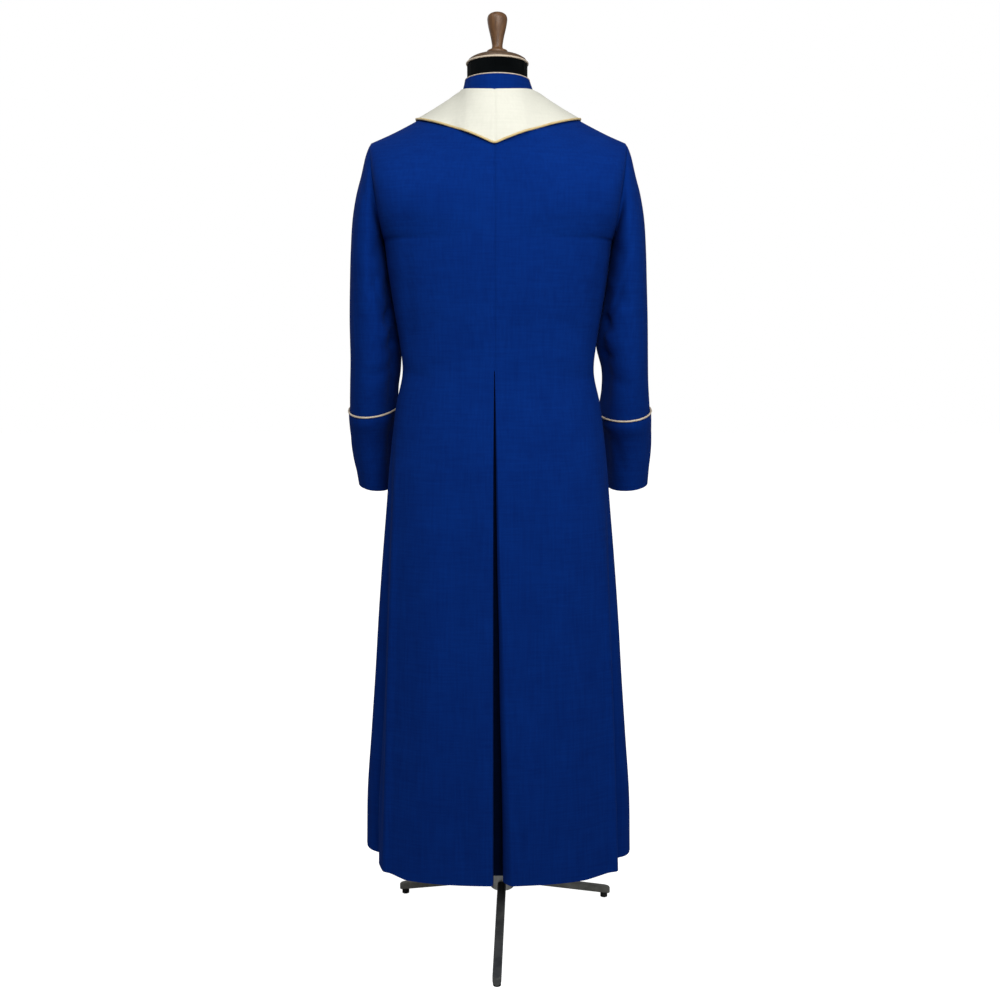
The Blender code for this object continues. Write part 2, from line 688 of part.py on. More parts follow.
def build_form(skin, normals):
    """The form's body: a torso that stops flat below the hips, and the neck that rises from it."""
    rings = [form_ring(skin, normals, row) for row in range(YOKE_ROWS + FORM_SECTIONS, -1, -1)]
    body = bmesh.new()
    rows = [[body.verts.new(point) for point in ring] for ring in rings]
    for low, high in zip(rows, rows[1:]):
        for step in range(len(low)):
            after = (step + 1) % len(low)
            body.faces.new([low[step], low[after], high[after], high[step]])
    body.faces.new(rows[0][::-1])
    bmesh.ops.remove_doubles(body, verts=body.verts, dist=MERGE)
    open_rim = [edge for edge in body.edges if edge.is_boundary]
    x, y = NECK_RADIUS
    neck = [[body.verts.new(point) for point in oval(FORM_X, NECK_Y, z, x, y)] for z in (NECK_BASE, NECK_TOP)]
    count = len(neck[0])
    for step in range(count):
        after = (step + 1) % count
        body.faces.new([neck[0][step], neck[0][after], neck[1][after], neck[1][step]])
    body.faces.new(neck[1])
    low_rim = [edge for vert in neck[0] for edge in vert.link_edges if edge.is_boundary]
    bmesh.ops.bridge_loops(body, edges=open_rim + list(dict.fromkeys(low_rim)))
    bmesh.ops.triangulate(body, faces=body.faces)
    bmesh.ops.recalc_face_normals(body, faces=body.faces)
    mesh = bpy.data.meshes.new("form_body")
    body.to_mesh(mesh)
    body.free()
    mesh.shade_smooth()
    mesh.set_sharp_from_angle(angle=math.radians(40))
    add("form_body", mesh, VELVET)


def build_head():
    """The wooden cap on the neck, its turned knob, and the braid round the neck's upper edge."""
    x, y = NECK_RADIUS
    cap = ((NECK_TOP + SEAM, 1.0), (1.6715, 1.0), (1.6745, 0.965), (1.6790, 0.82), (1.6830, 0.60), (1.6862, 0.33))
    rings = [oval(FORM_X, NECK_Y, z, (x - CAP_INSET) * size, (y - CAP_INSET) * size) for z, size in cap]
    stack("form_cap", rings, WOOD)
    base = cap[-1][0] + SEAM
    low = FINIAL[0][0]
    knob = [oval(FORM_X, NECK_Y, base if z == low else z, r, r, 20) if r else [Vector((FORM_X, NECK_Y, z))]
            for z, r in FINIAL]
    stack("form_knob", knob, WOOD)
    reach = BRAID_RADIUS + SEAM - CAP_INSET
    line = oval(FORM_X, NECK_Y, BRAID_Z, x + reach, y + reach)
    cord("form_braid", line, BRAID_RADIUS, CHAMPAGNE, closed=True)


def build_stand():
    """The pole, its hub and three legs with rubber pads."""
    bottom = SECTIONS[FORM_SECTIONS]["height"]
    stack("stand_pole", [oval(STAND_X, 0, HUB_TOP + SEAM, POLE_RADIUS, POLE_RADIUS),
                         oval(STAND_X, 0, bottom - SEAM, POLE_RADIUS, POLE_RADIUS)], STEEL)
    rim = HUB_RADIUS - 0.0015
    stack("stand_hub", [oval(STAND_X, 0, HUB_BOTTOM, rim, rim), oval(STAND_X, 0, HUB_BOTTOM + 0.0015, HUB_RADIUS,
                        HUB_RADIUS), oval(STAND_X, 0, HUB_TOP - 0.0015, HUB_RADIUS, HUB_RADIUS),
                        oval(STAND_X, 0, HUB_TOP, rim, rim)], STEEL)
    start = HUB_RADIUS + SEAM
    slope = (LEG_RISE - LEG_DROP) / LEG_REACH
    tilt = math.atan(slope)
    for index, name in enumerate(LEG_NAMES):
        turn = math.radians(-90 + LEG_TURN + 120 * index)
        place = Matrix.Translation((STAND_X, 0, 0)) @ Matrix.Rotation(turn, 4, "Z")
        build_leg(f"leg_{name}", place, start, slope, tilt)
        build_pad(f"foot_pad_{name}", place, slope, tilt)


def build_leg(name, place, start, slope, tilt):
    """A sloping bar with a round end, built along +X and then turned to its place."""
    half = LEG_WIDTH / 2
    steps = 6
    outline = [(start, -half), (LEG_REACH - half, -half)]
    outline += [(LEG_REACH - half + half * math.sin(math.pi * step / steps), -half * math.cos(math.pi * step / steps))
                for step in range(1, steps)]
    outline += [(LEG_REACH - half, half), (start, half)]
    rise = LEG_THICK / 2 / math.cos(tilt)
    bevel = 0.002
    rings = []
    for lift, inset in ((-rise, bevel), (-rise + bevel, 0), (rise - bevel, 0), (rise, bevel)):
        centre = Vector(((start + LEG_REACH) / 2, 0, 0))
        shrink_x = 1 - inset / (LEG_REACH - start)
        shrink_y = 1 - inset / half
        ring = []
        for x, y in outline:
            x = centre.x + (x - centre.x) * shrink_x
            ring.append(place @ Vector((x, y * shrink_y, LEG_RISE - slope * x + lift)))
        rings.append(ring)
    stack(name, rings, STEEL)


def build_pad(name, place, slope, tilt):
    """A round rubber pad, flat on the floor, whose top follows the leg's lower side."""
    x_middle = LEG_REACH - PAD_INSET
    under = LEG_THICK / 2 / math.cos(tilt) + SEAM
    base = oval(x_middle, 0, 0, PAD_RADIUS, PAD_RADIUS, 16)
    top = [Vector((point.x, point.y, LEG_RISE - slope * point.x - under)) for point in base]
    stack(name, [[place @ point for point in base], [place @ point for point in top]], RUBBER)


def main():
    """Build every piece."""
    skin = coat_skin()
    normals = gather_normals(skin.values())
    build_coat(skin, normals)
    build_underlay()
    build_cuffs()
    build_stand_collar()
    build_cape_collar()
    build_form(skin, normals)
    build_head()
    build_stand()


main()
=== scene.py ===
# %% [markdown]
# # A blue cassock on a dress form
# A cassock is a long coat of wool cloth. This one hangs on a limbless dress form with a stand, and we look
# at its back. The hard model of it is already packed as a fixed frame. This lesson dresses that frame: each
# piece of cloth is made again as a thin, smooth shell on the same cut, with creases, seams and a woven
# finish.

# %% Load the frame
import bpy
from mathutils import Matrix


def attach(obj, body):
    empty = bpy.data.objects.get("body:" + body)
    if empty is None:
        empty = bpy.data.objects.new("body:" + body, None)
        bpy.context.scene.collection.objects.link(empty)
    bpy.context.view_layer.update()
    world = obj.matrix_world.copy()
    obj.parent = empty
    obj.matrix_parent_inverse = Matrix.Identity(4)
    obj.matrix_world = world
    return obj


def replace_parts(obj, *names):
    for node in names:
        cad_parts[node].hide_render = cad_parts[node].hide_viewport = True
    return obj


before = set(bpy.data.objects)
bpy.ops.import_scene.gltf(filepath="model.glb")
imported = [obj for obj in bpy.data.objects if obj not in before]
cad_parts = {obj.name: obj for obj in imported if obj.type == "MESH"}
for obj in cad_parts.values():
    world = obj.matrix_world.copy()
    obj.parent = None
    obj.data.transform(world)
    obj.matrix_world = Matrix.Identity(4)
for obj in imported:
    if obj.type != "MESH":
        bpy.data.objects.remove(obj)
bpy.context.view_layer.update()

# %% [markdown]
# ## Tools for the work
# All the cloth is worked out with numpy arrays of points, one row of the array for each level of the coat.
# Blender then only has to turn each array into a mesh, which is much faster than moving single points.

# %% Modules and the form's axis
import math
import bpy
import numpy as np
from mathutils import Vector

AXIS = np.array((-0.004, 0.030, 0.0))
SIDES = {"left": -1, "right": 1}
print("the form's axis stands at", AXIS)

# %% [markdown]
# ## The tailor's measures
# A coat is described well by its level sections: how wide it is, how far it reaches behind and before the
# form's axis, and where the two edges of the open back pleat hang. Between the measured levels a smooth
# curve is used. All lengths are in metres.

# %% Measures of the coat
NO = math.nan       # no measure, or no cloth, here
HEIGHT, HALF_WIDTH, BACK, FRONT, PLEAT_LEFT, PLEAT_RIGHT = range(6)
SECTIONS = np.array((
    (1.346, 0.2120, 0.118, 0.128, NO, NO),
    (1.282, 0.2050, 0.114, 0.124, NO, NO),
    (1.223, 0.1965, 0.107, 0.119, NO, NO),
    (1.163, 0.1870, 0.098, 0.112, NO, NO),
    (1.103, 0.1815, 0.094, 0.108, -0.0074, -0.0066),
    (1.042, 0.1940, 0.100, 0.112, -0.0080, -0.0055),
    (0.981, 0.2020, 0.107, 0.117, -0.0085, -0.0045),
    (0.919, 0.2090, 0.112, 0.121, -0.0090, -0.0035),
    (0.857, 0.2140, 0.115, 0.126, -0.0092, -0.0025),
    (0.740, 0.2240, 0.118, 0.135, -0.0094, -0.0005),
    (0.620, 0.2330, 0.120, 0.145, -0.0095, 0.0028),
    (0.500, 0.2405, 0.123, 0.156, -0.0095, 0.0047),
    (0.378, 0.2490, 0.126, 0.168, -0.0095, 0.0080),
    (0.254, 0.2576, 0.128, 0.182, -0.0095, 0.0110),
    (0.135, 0.2600, 0.130, 0.196, -0.0095, 0.0125)))
UNDERARM_X, UNDERARM_Z = SECTIONS[0, HALF_WIDTH], SECTIONS[0, HEIGHT]
PLEAT_TOP, HEM = SECTIONS[4, HEIGHT], SECTIONS[-1, HEIGHT]
NECK_X, NECK_SIDE_Z = 0.0655, 1.616
TIP_X, TIP_Z = 0.237, 1.5235
SHOULDER_DIP = 0.004            # how far the shoulder seam sags between neck and tip
ROUNDING = 0.9                  # 1 gives an oval section, and less gives a squarer one
BEND = 2.2                      # how soon the middle line reaches its full depth below the neck
TOP_FADE, LOW_FADE = 3.5, 1.6   # how fast the upper edge's shape fades, and the lower edge's comes in
HALVES = {
    "back": {"sign": -1, "neck": 0.067, "drop": 0.009, "middle": -0.007, "armhole": 0.070, "depth": BACK},
    "front": {"sign": 1, "neck": 0.085, "drop": 0.031, "middle": 0.0, "armhole": 0.075, "depth": FRONT}}


def soft_curve(t, start, end, start_slope, end_slope):
    """A point at the share t of a smooth curve that leaves `start` and reaches `end` with those slopes."""
    ends = (1 + 2 * t) * (1 - t) ** 2 * start + smooth(t) * end
    return ends + t * (1 - t) ** 2 * start_slope - t * t * (1 - t) * end_slope


def smooth(t):
    """A share that starts and stops softly."""
    return t * t * (3 - 2 * t)


def measure(column, height):
    """One measure of the coat at any height, on a smooth curve through the table."""
    known = SECTIONS[~np.isnan(SECTIONS[:, column])][::-1]
    levels, values = known[:, HEIGHT], known[:, column]
    slopes = np.gradient(values, levels)
    at = np.clip(np.searchsorted(levels, height) - 1, 0, len(levels) - 2)
    span = levels[at + 1] - levels[at]
    t = (height - levels[at]) / span
    return soft_curve(t, values[at], values[at + 1], span * slopes[at], span * slopes[at + 1])


for place, height in (("waist", PLEAT_TOP), ("hem", HEM)):
    print("half width at the %s: %.3f m" % (place, measure(HALF_WIDTH, height)))

# %% [markdown]
# ## Edges of the upper coat
# Above the underarm four lines bound each quarter of the coat: the shoulder with the neckline, the middle
# line, the armhole, and the level of the underarm. A patch blended from those four lines has the true cut.

# %% Lines that bound the shoulders


def points(x, y, z):
    """Arrays of coordinates joined into an array of points."""
    return np.stack(np.broadcast_arrays(x, y, z), axis=-1).astype(float)


def mix(a, b, share):
    """What lies at `share` of the way from a to b."""
    return a + (b - a) * share


def shoulder_z(x):
    """Height of the shoulder seam at x from the middle."""
    along = (x - NECK_X) / (TIP_X - NECK_X)
    return mix(NECK_SIDE_Z, TIP_Z, along) - SHOULDER_DIP * np.sin(math.pi * along)


def neckline(half, side, turn):
    """Points of the neckline, `turn` radians from its middle to its side."""
    cut = HALVES[half]
    x = cut["middle"] * np.cos(turn) + side * NECK_X * np.sin(turn)
    return points(x, cut["sign"] * cut["neck"] * np.cos(turn), NECK_SIDE_Z - cut["drop"] * np.cos(turn) ** 2)


def shoulder_line(half, side, share):
    """The upper edge of a quarter: the neckline, then the shoulder seam to its tip."""
    x = TIP_X * np.asarray(share, float)
    neck = neckline(half, side, np.arcsin(np.clip(x / NECK_X, 0, 1)))
    seam = points(side * x, 0.0, shoulder_z(x))
    return np.where((x < NECK_X)[..., None], neck, seam)


def middle_line(half, down):
    """The middle of the back or front, from the neckline to the level of the underarm."""
    cut = HALVES[half]
    y = mix(cut["neck"], SECTIONS[0, cut["depth"]], 1 - (1 - down) ** BEND)
    return points(cut["middle"], cut["sign"] * y, mix(NECK_SIDE_Z - cut["drop"], UNDERARM_Z, down))


def armhole(half, side, down):
    """The armhole seam from the tip of the shoulder to the underarm."""
    cut = HALVES[half]
    fall = 0.5 + 0.5 * np.cos(math.pi * down)
    y = cut["sign"] * cut["armhole"] * np.sin(math.pi * down)
    return points(side * mix(UNDERARM_X, TIP_X, fall), y, mix(UNDERARM_Z, TIP_Z, fall))


tip, underarm = armhole("back", 1, np.array((0.0, 1.0)))
print("shoulder tip", tip.round(4), "underarm", underarm.round(4))

# %% [markdown]
# ## Body of the coat
# Below the underarm the cloth follows the sections, and hangs in a few long folds that start at the hips.
# They are set by their angle round the body, so the same table gives the folds of the back and of the
# hidden front.

# %% Sections and long folds
FOLD_TOP = 1.06
FOLDS = (       # angle from the centre back, spread, depth at the hem
    (61, 6.5, 0.0060),
    (75, 8, -0.0140),
    (101, 12, 0.0080),
    (121, 9, -0.0120),
    (140, 10, 0.0080))


def fold_push(height, angle):
    """How far the long folds push the skirt outward."""
    growth = np.maximum(0.0, (FOLD_TOP - height) / (FOLD_TOP - HEM))
    return growth * sum(depth * np.exp(-((angle - at) / spread) ** 2) for at, spread, depth in FOLDS)


def section_points(half, side, height, turn):
    """Points of the coat below the underarm, `turn` degrees from the middle to the side seam."""
    cut = HALVES[half]
    sine, cosine = np.sin(np.radians(turn)), np.maximum(0.0, np.cos(np.radians(turn)))
    push = fold_push(height, turn if half == "back" else 180 - turn)
    x = cut["middle"] * cosine ** ROUNDING + side * measure(HALF_WIDTH, height) * sine ** ROUNDING
    y = cut["sign"] * measure(cut["depth"], height) * cosine ** ROUNDING
    return points(x + side * sine * push, y + cut["sign"] * cosine * push, height)


def yoke_points(half, side, share, down):
    """Points between the shoulder line and the underarm, blended from the four edges of that patch."""
    share, down = np.broadcast_arrays(np.asarray(share, float), np.asarray(down, float))
    turn = np.degrees(np.arcsin(np.clip(share, 0, 1) ** (1 / ROUNDING)))
    ends = shoulder_line(half, side, np.array((0.0, 1.0)))
    top_bow = shoulder_line(half, side, share) - mix(ends[0], ends[1], share[..., None])
    level = np.array(UNDERARM_Z)
    low = section_points(half, side, level, np.array((0.0, 90.0)))
    low_bow = section_points(half, side, level, turn) - mix(low[0], low[1], share[..., None])
    across = mix(middle_line(half, down), armhole(half, side, down), share[..., None])
    top_part = top_bow * ((1 - down) ** TOP_FADE)[..., None]
    return across + top_part + low_bow * (1 - (1 - down) ** LOW_FADE)[..., None]


print("deepest fold at the hem: %.1f mm" % (1000 * min(fold[2] for fold in FOLDS)))

# %% [markdown]
# ## Creases placed one by one
# Real cloth never hangs quite evenly. Each crease here is a soft ridge or hollow along a short line on the
# coat as it is seen from behind or from the front. They differ in length and depth, and none mirrors
# another exactly. The long ones down the sides of the back end far below the hem, so that they are deepest
# at the hem.

# %% Creases of the body
CREASES = {     # x and z of the start, x and z of the end, width, depth
    "back": (
        (-0.150, 1.420, -0.196, 1.300, 0.016, -0.0030),
        (-0.185, 1.395, -0.178, 1.270, 0.013, 0.0022),
        (0.155, 1.430, 0.198, 1.310, 0.017, -0.0032),
        (0.182, 1.400, 0.176, 1.260, 0.012, 0.0020),
        (-0.110, 1.215, -0.183, 1.150, 0.018, -0.0022),
        (-0.070, 1.150, -0.182, 1.118, 0.014, 0.0016),
        (-0.120, 1.090, -0.184, 1.105, 0.012, -0.0018),
        (0.100, 1.205, 0.186, 1.155, 0.017, -0.0024),
        (0.060, 1.140, 0.180, 1.112, 0.013, 0.0016),
        (0.115, 1.085, 0.184, 1.095, 0.013, -0.0018),
        (-0.045, 1.330, -0.052, 1.180, 0.022, 0.0012),
        (0.050, 1.345, 0.044, 1.190, 0.024, 0.0012),
        (-0.062, 0.960, -0.085, 0.420, 0.030, -0.0030),
        (-0.120, 0.840, -0.150, 0.200, 0.026, 0.0032),
        (0.060, 0.930, 0.078, 0.380, 0.032, -0.0032),
        (0.112, 0.860, 0.146, 0.180, 0.027, 0.0034),
        (-0.030, 0.520, -0.038, 0.150, 0.018, 0.0030),
        (0.048, 0.480, 0.060, 0.150, 0.020, 0.0034),
        (-0.192, 1.030, -0.241, -0.600, 0.0065, 0.0050),
        (-0.203, 1.000, -0.277, -0.600, 0.0110, -0.0090),
        (0.196, 1.040, 0.251, -0.600, 0.0070, 0.0050),
        (0.206, 1.000, 0.274, -0.600, 0.0075, -0.0090),
        (-0.166, 1.330, -0.163, 1.130, 0.012, -0.0022),
        (0.184, 1.320, 0.180, 1.140, 0.011, -0.0022)),
    "front": (
        (-0.120, 1.420, -0.190, 1.310, 0.016, -0.0030),
        (0.128, 1.410, 0.192, 1.300, 0.017, -0.0030),
        (-0.060, 1.180, -0.180, 1.120, 0.015, -0.0024),
        (0.075, 1.170, 0.182, 1.125, 0.016, -0.0022),
        (-0.040, 1.110, -0.175, 1.095, 0.013, 0.0018),
        (0.050, 1.105, 0.178, 1.100, 0.012, 0.0018),
        (-0.070, 1.000, -0.100, 0.300, 0.030, -0.0050),
        (0.064, 1.020, 0.090, 0.260, 0.032, -0.0052),
        (-0.125, 0.900, -0.160, 0.180, 0.026, 0.0046),
        (0.118, 0.920, 0.158, 0.200, 0.028, 0.0048),
        (-0.022, 0.700, -0.030, 0.160, 0.020, 0.0030),
        (0.030, 0.640, 0.036, 0.150, 0.018, 0.0028))}


def crease_push(flat, creases):
    """Push of the listed creases at an array of flat places."""
    total = np.zeros(flat.shape[:-1])
    for x0, z0, x1, z1, width, depth in creases:
        start, way = np.array((x0, z0)), np.array((x1 - x0, z1 - z0))
        along = np.clip(((flat - start) @ way) / (way @ way), 0, 1)
        away = np.linalg.norm(flat - start - along[..., None] * way, axis=-1)
        total += depth * np.sin(math.pi * along) ** 0.7 * np.exp(-(away / width) ** 2)
    return total


print("creases:", {half: len(rows) for half, rows in CREASES.items()})

# %% [markdown]
# ## One quarter of the coat
# A quarter is one grid of points from shoulder to hem. Its rows are levels of the coat and its columns run
# from the middle to the side seam, closer together at both, where the seams need fine steps.

# %% Rows and columns of a quarter
YOKE_ROWS, WAIST_ROWS, SKIRT_ROWS = 64, 49, 195
PLEAT_ROW = YOKE_ROWS + WAIST_ROWS
NEAR_MIDDLE, NEAR_SIDE = (0, 0.08, 0.2, 0.4, 0.7, 1.1), (88.4, 89.1, 89.6, 89.85, 90)
TURNS = np.concatenate((NEAR_MIDDLE, np.linspace(1.7, 87.5, 66), NEAR_SIDE))      # degrees from the middle
SHARES = np.sin(np.radians(TURNS)) ** ROUNDING      # the same places as shares of the half width
YOKE_DOWN = np.linspace(0, 1, YOKE_ROWS + 1)[:-1]
ABOVE_PLEAT = np.linspace(UNDERARM_Z, PLEAT_TOP, WAIST_ROWS + 1)[:-1]
LEVELS = np.concatenate((ABOVE_PLEAT, np.linspace(PLEAT_TOP, HEM, SKIRT_ROWS + 1)))
print("a quarter has", YOKE_ROWS + len(LEVELS), "rows and", len(TURNS), "columns")

# %% [markdown]
# The cloth hangs freely from the shoulder blade or the chest to the waist. A pressed coat also shows no line
# at the level of the underarm, where the patch and the sections meet, so the depth is evened out there.

# %% Let the cloth hang
PUSH_END, CALM_END = 40, 60     # how sharply a push, or the calming, stops at the side seam
CALM_ROWS, CALM_STEPS, CALM_RATE, CALM_START = (10, 150), 800, 0.8, 8
MOST_INWARD = 0.0010            # calming never moves the cloth further in than this, since the form is there


def off_side_seam(sharpness):
    """1 over a quarter, running down to 0 at its side seam."""
    return np.clip((1 - SHARES) * sharpness, 0, 1)


def hang(grid):
    """Let the cloth hang from the shoulder blade or the chest to the waist, over the hollow between them."""
    sign = np.sign(grid[0, 0, 1])
    depth, height = sign * grid[:PLEAT_ROW, :, 1], grid[:PLEAT_ROW, :, 2]
    fullest = depth.argmax(axis=0)[None]
    top, top_depth = np.take_along_axis(height, fullest, 0), np.take_along_axis(depth, fullest, 0)
    t = np.clip((top - height) / (top - height[-1:]), 0, 1)
    straight = mix(top_depth, depth[-1:], smooth(t))
    below = np.arange(PLEAT_ROW)[:, None] > fullest
    grid[:PLEAT_ROW, :, 1] += sign * np.maximum(0, straight - depth) * below * off_side_seam(PUSH_END)


def calm(grid):
    """Even out the depth of the upper back or chest, so that no line shows at the level of the underarm."""
    low, high = CALM_ROWS
    rows = np.arange(high - low)
    hold = np.minimum(1, np.minimum(rows, rows[::-1]) / CALM_START)[:, None] * off_side_seam(CALM_END)[:-1]
    sign = np.sign(grid[low, 0, 1])
    least = sign * grid[low:high, :-1, 1] - MOST_INWARD
    hang(grid)
    for _ in range(CALM_STEPS):
        y = grid[low - 1:high + 1, :, 1]
        left = np.concatenate((y[1:-1, 1:2], y[1:-1, :-2]), axis=1)
        around = (y[:-2, :-1] + y[2:, :-1] + left + y[1:-1, 1:]) / 4
        y[1:-1, :-1] += hold * (around - y[1:-1, :-1]) * CALM_RATE
        y[1:-1, :-1] = sign * np.maximum(sign * y[1:-1, :-1], least)


print("calmed in", CALM_STEPS, "steps, rows", CALM_ROWS)

# %% [markdown]
# The cloth near a sewn edge dips a little, which is what makes a seam show as a fine dark line. The hem hangs
# higher at the sides, most of all on the left.

# %% Grid of a quarter
SEAM_DIP, SEAM_REACH = 0.0016, 0.0021
HEM_LIFT = {-1: 0.030, 1: 0.014}    # metres at the side seams
LIFT_FROM = 40                      # degrees from the middle, where the lift sets in
PUSH_START = 10                     # rows below the shoulder over which a crease sets in


def seam_dip(grid, sewn):
    """How far each point lies inward because of the sewn edges at the first and the last column."""
    step = np.linalg.norm(np.diff(grid, axis=1), axis=-1)
    reach = np.concatenate((np.zeros((len(grid), 1)), np.cumsum(step, axis=1)), axis=1)
    ends = [reach, reach[:, -1:] - reach]
    return sum(SEAM_DIP * use * np.exp(-(end / SEAM_REACH) ** 2) for end, use in zip(ends, sewn))


def hem_lift(height, side):
    """How much higher the cloth hangs towards the side seam, most of all on the left."""
    fall = np.clip((FOLD_TOP - height) / (FOLD_TOP - HEM), 0, 1)
    return HEM_LIFT[side] * fall ** 2 * np.clip((TURNS[None, :] - LIFT_FROM) / (90 - LIFT_FROM), 0, 1) ** 0.9


def quarter(half, side):
    """The outer points of one quarter of the coat."""
    top = yoke_points(half, side, SHARES[None, :], YOKE_DOWN[:, None])
    low = section_points(half, side, LEVELS[:, None], TURNS[None, :])
    grid = np.concatenate((top, low))
    calm(grid)
    grid[..., 2] += hem_lift(grid[..., 2], side)
    push = crease_push(grid[..., (0, 2)], CREASES[half])
    push *= np.minimum(1, np.arange(len(grid)) / PUSH_START)[:, None] * off_side_seam(PUSH_END)
    middle_sewn = np.ones((len(grid), 1))
    if half == "back":
        middle_sewn[PLEAT_ROW:] = 0
    push -= seam_dip(grid, (middle_sewn, 1))
    turn = np.radians(TURNS)
    out = points(side * np.sin(turn), HALVES[half]["sign"] * np.cos(turn), 0.0)
    return grid + out[None] * push[..., None]


trial = quarter("back", 1)
print("one quarter:", trial.shape[:2], "points in", trial.min((0, 1)).round(3), trial.max((0, 1)).round(3))

# %% [markdown]
# ## The open pleat
# The back is split from the waist down, and each quarter turns in round a fold and runs back behind itself.
# The left fold is sharp, and the right one rolls in more and more towards the hem. An underlay closes the
# pleat at its bottom, painted dark as shade. The pleat deepens towards the hem, so its gap is dark.

# %% Returns of the pleat
RETURN_ROUND = {-1: (0.0006, 0.0018), 1: (0.0006, 0.0180)}     # half width of each fold, top and hem
RETURN_CLOSE = {-1: 0.0, 1: 0.0040}     # how far each edge closes the gap at the hem, past the measured edge
RETURN_REACH = 0.055
PLEAT_DEPTH, PLEAT_DEEPER, PLEAT_GROWTH = 0.0082, 0.034, 1.2
EDGE_REACH = 14                         # degrees from the middle over which the cloth follows its edge
RETURN_STEPS = np.linspace(1, 0, 9)
TURN_STEPS = np.linspace(0, math.pi, 16)[1:-1][None, :]


def return_round(height, side):
    """How widely the fold at the edge of the pleat is rounded."""
    return mix(*RETURN_ROUND[side], np.clip((PLEAT_TOP - height) / (PLEAT_TOP - HEM), 0, 1) ** PLEAT_GROWTH)


def pleat_depth(height):
    """How far the return lies inside the outer side of the back."""
    fall = np.clip((FOLD_TOP - height) / (FOLD_TOP - HEM), 0, 1)
    return PLEAT_DEPTH + PLEAT_DEEPER * fall ** PLEAT_GROWTH


def add_return(grid, side):
    """The quarter with its pleat: the edge moved to where it hangs, and the return before it."""
    rows = slice(PLEAT_ROW, None)
    height = grid[rows, :1, 2]
    edge = measure(PLEAT_LEFT if side < 0 else PLEAT_RIGHT, height)
    edge = edge - RETURN_CLOSE[side] * (PLEAT_TOP - height) / (PLEAT_TOP - HEM)
    soft = return_round(height, side)
    start = edge + side * soft
    ease = np.clip(1 - TURNS[None, :] / EDGE_REACH, 0, 1) ** 2
    grid[rows, :, 0] += (start - grid[rows, :1, 0]) * ease
    outside = grid[rows, :1, 1]
    inside = outside + pleat_depth(height)
    far_x = start + side * (RETURN_REACH - soft) * RETURN_STEPS[None, :]
    fold_x = start - side * soft * np.sin(TURN_STEPS)
    fold_y = mix(outside, inside, ((1 + np.cos(TURN_STEPS)) / 2) ** 0.7)
    back = points(far_x, inside + 0 * far_x, height)
    fold = points(fold_x, fold_y, height)
    whole = np.full((len(grid), back.shape[1] + fold.shape[1], 3), NO)
    whole[rows] = np.concatenate((back, fold), axis=1)
    return np.concatenate((whole, grid), axis=1)


print("the pleat is %.0f mm deep at its top, %.0f mm at the hem" % tuple(
    1000 * pleat_depth(height) for height in (PLEAT_TOP, HEM)))

# %% [markdown]
# ## From points to cloth
# Cloth has two sides and a thickness. The outer side is the grid, the inner side is the same grid moved
# inward along its normals, and narrow faces close the edges. Each finished piece gets its finish, and the
# frame's node that it replaces is hidden.

# %% Normals and faces of a grid


def grid_normals(grid, closed):
    """Unit normals of a grid of points; `closed` joins its last column to its first."""
    if closed:
        across = np.roll(grid, -1, axis=1) - np.roll(grid, 1, axis=1)
    else:
        across = np.gradient(grid, axis=1)
        beside = np.concatenate((np.diff(grid, axis=1), grid[:, -1:] - grid[:, -2:-1]), axis=1)
        across = np.where(np.isnan(across), beside, across)
    down = np.gradient(grid, axis=0)
    below = np.concatenate((np.diff(grid, axis=0), grid[-1:] - grid[-2:-1]))
    down = np.where(np.isnan(down), below, down)
    normals = np.cross(across, down)
    return normals / np.maximum(np.linalg.norm(normals, axis=-1, keepdims=True), 1e-12)


def cells(valid, closed):
    """Corner indices of each cell of a grid whose four corners have cloth."""
    rows, columns = valid.shape
    index = np.arange(rows * columns).reshape(rows, columns)
    after = np.roll(index, -1, axis=1) if closed else index[:, 1:]
    first = index if closed else index[:, :-1]
    quads = np.stack((first[:-1], first[1:], after[1:], after[:-1]), axis=-1).reshape(-1, 4)
    return quads[valid.reshape(-1)[quads].all(axis=1)]


print("one quarter gives", len(cells(np.ones(trial.shape[:2], bool), False)), "faces on its outer side")

# %% Make a shell of cloth
THICKNESS = 0.0018
collection = bpy.data.collections.new("cassock")
bpy.context.scene.collection.children.link(collection)


def shell(name, grid, outward, closed=False):
    """A closed shell of cloth on a grid; `outward` gives the way out of the body at one of its points."""
    normals = grid_normals(grid, closed)
    valid = ~np.isnan(grid).any(axis=-1) & ~np.isnan(normals).any(axis=-1)
    second_half = np.arange(valid.size).reshape(valid.shape) >= valid.size // 2
    at = np.unravel_index(np.argmax(valid & second_half), valid.shape)
    flip = normals[at] @ np.asarray(outward(grid[at])) < 0
    if flip:
        normals = -normals
    quads = cells(valid, closed)
    if not flip:
        quads = quads[:, ::-1]
    count = valid.size
    edges = np.concatenate([quads[:, (k, (k + 1) % 4)] for k in range(4)])
    code = edges[:, 0] * count + edges[:, 1]
    rim = edges[~np.isin(code, edges[:, 1] * count + edges[:, 0])]
    sides = np.column_stack((rim[:, 1], rim[:, 0], rim[:, 0] + count, rim[:, 1] + count))
    faces = np.concatenate((quads, quads[:, ::-1] + count, sides))
    corners = np.concatenate((grid.reshape(-1, 3), (grid - normals * THICKNESS).reshape(-1, 3)))
    used, faces = np.unique(faces, return_inverse=True)
    mesh = bpy.data.meshes.new(name)
    mesh.from_pydata((corners[used] + AXIS).tolist(), [], faces.reshape(-1, 4).tolist())
    mesh.shade_smooth()
    mesh.set_sharp_from_angle(angle=math.radians(60))
    piece = bpy.data.objects.new(name, mesh)
    collection.objects.link(piece)
    return piece


print("cloth is %.1f mm thick" % (1000 * THICKNESS))

# %% [markdown]
# A tailor thinks of each piece as what it was cut from, so its width, length and area are measured along its
# grid. That counts the cloth that lies in folds.

# %% Say what a piece is


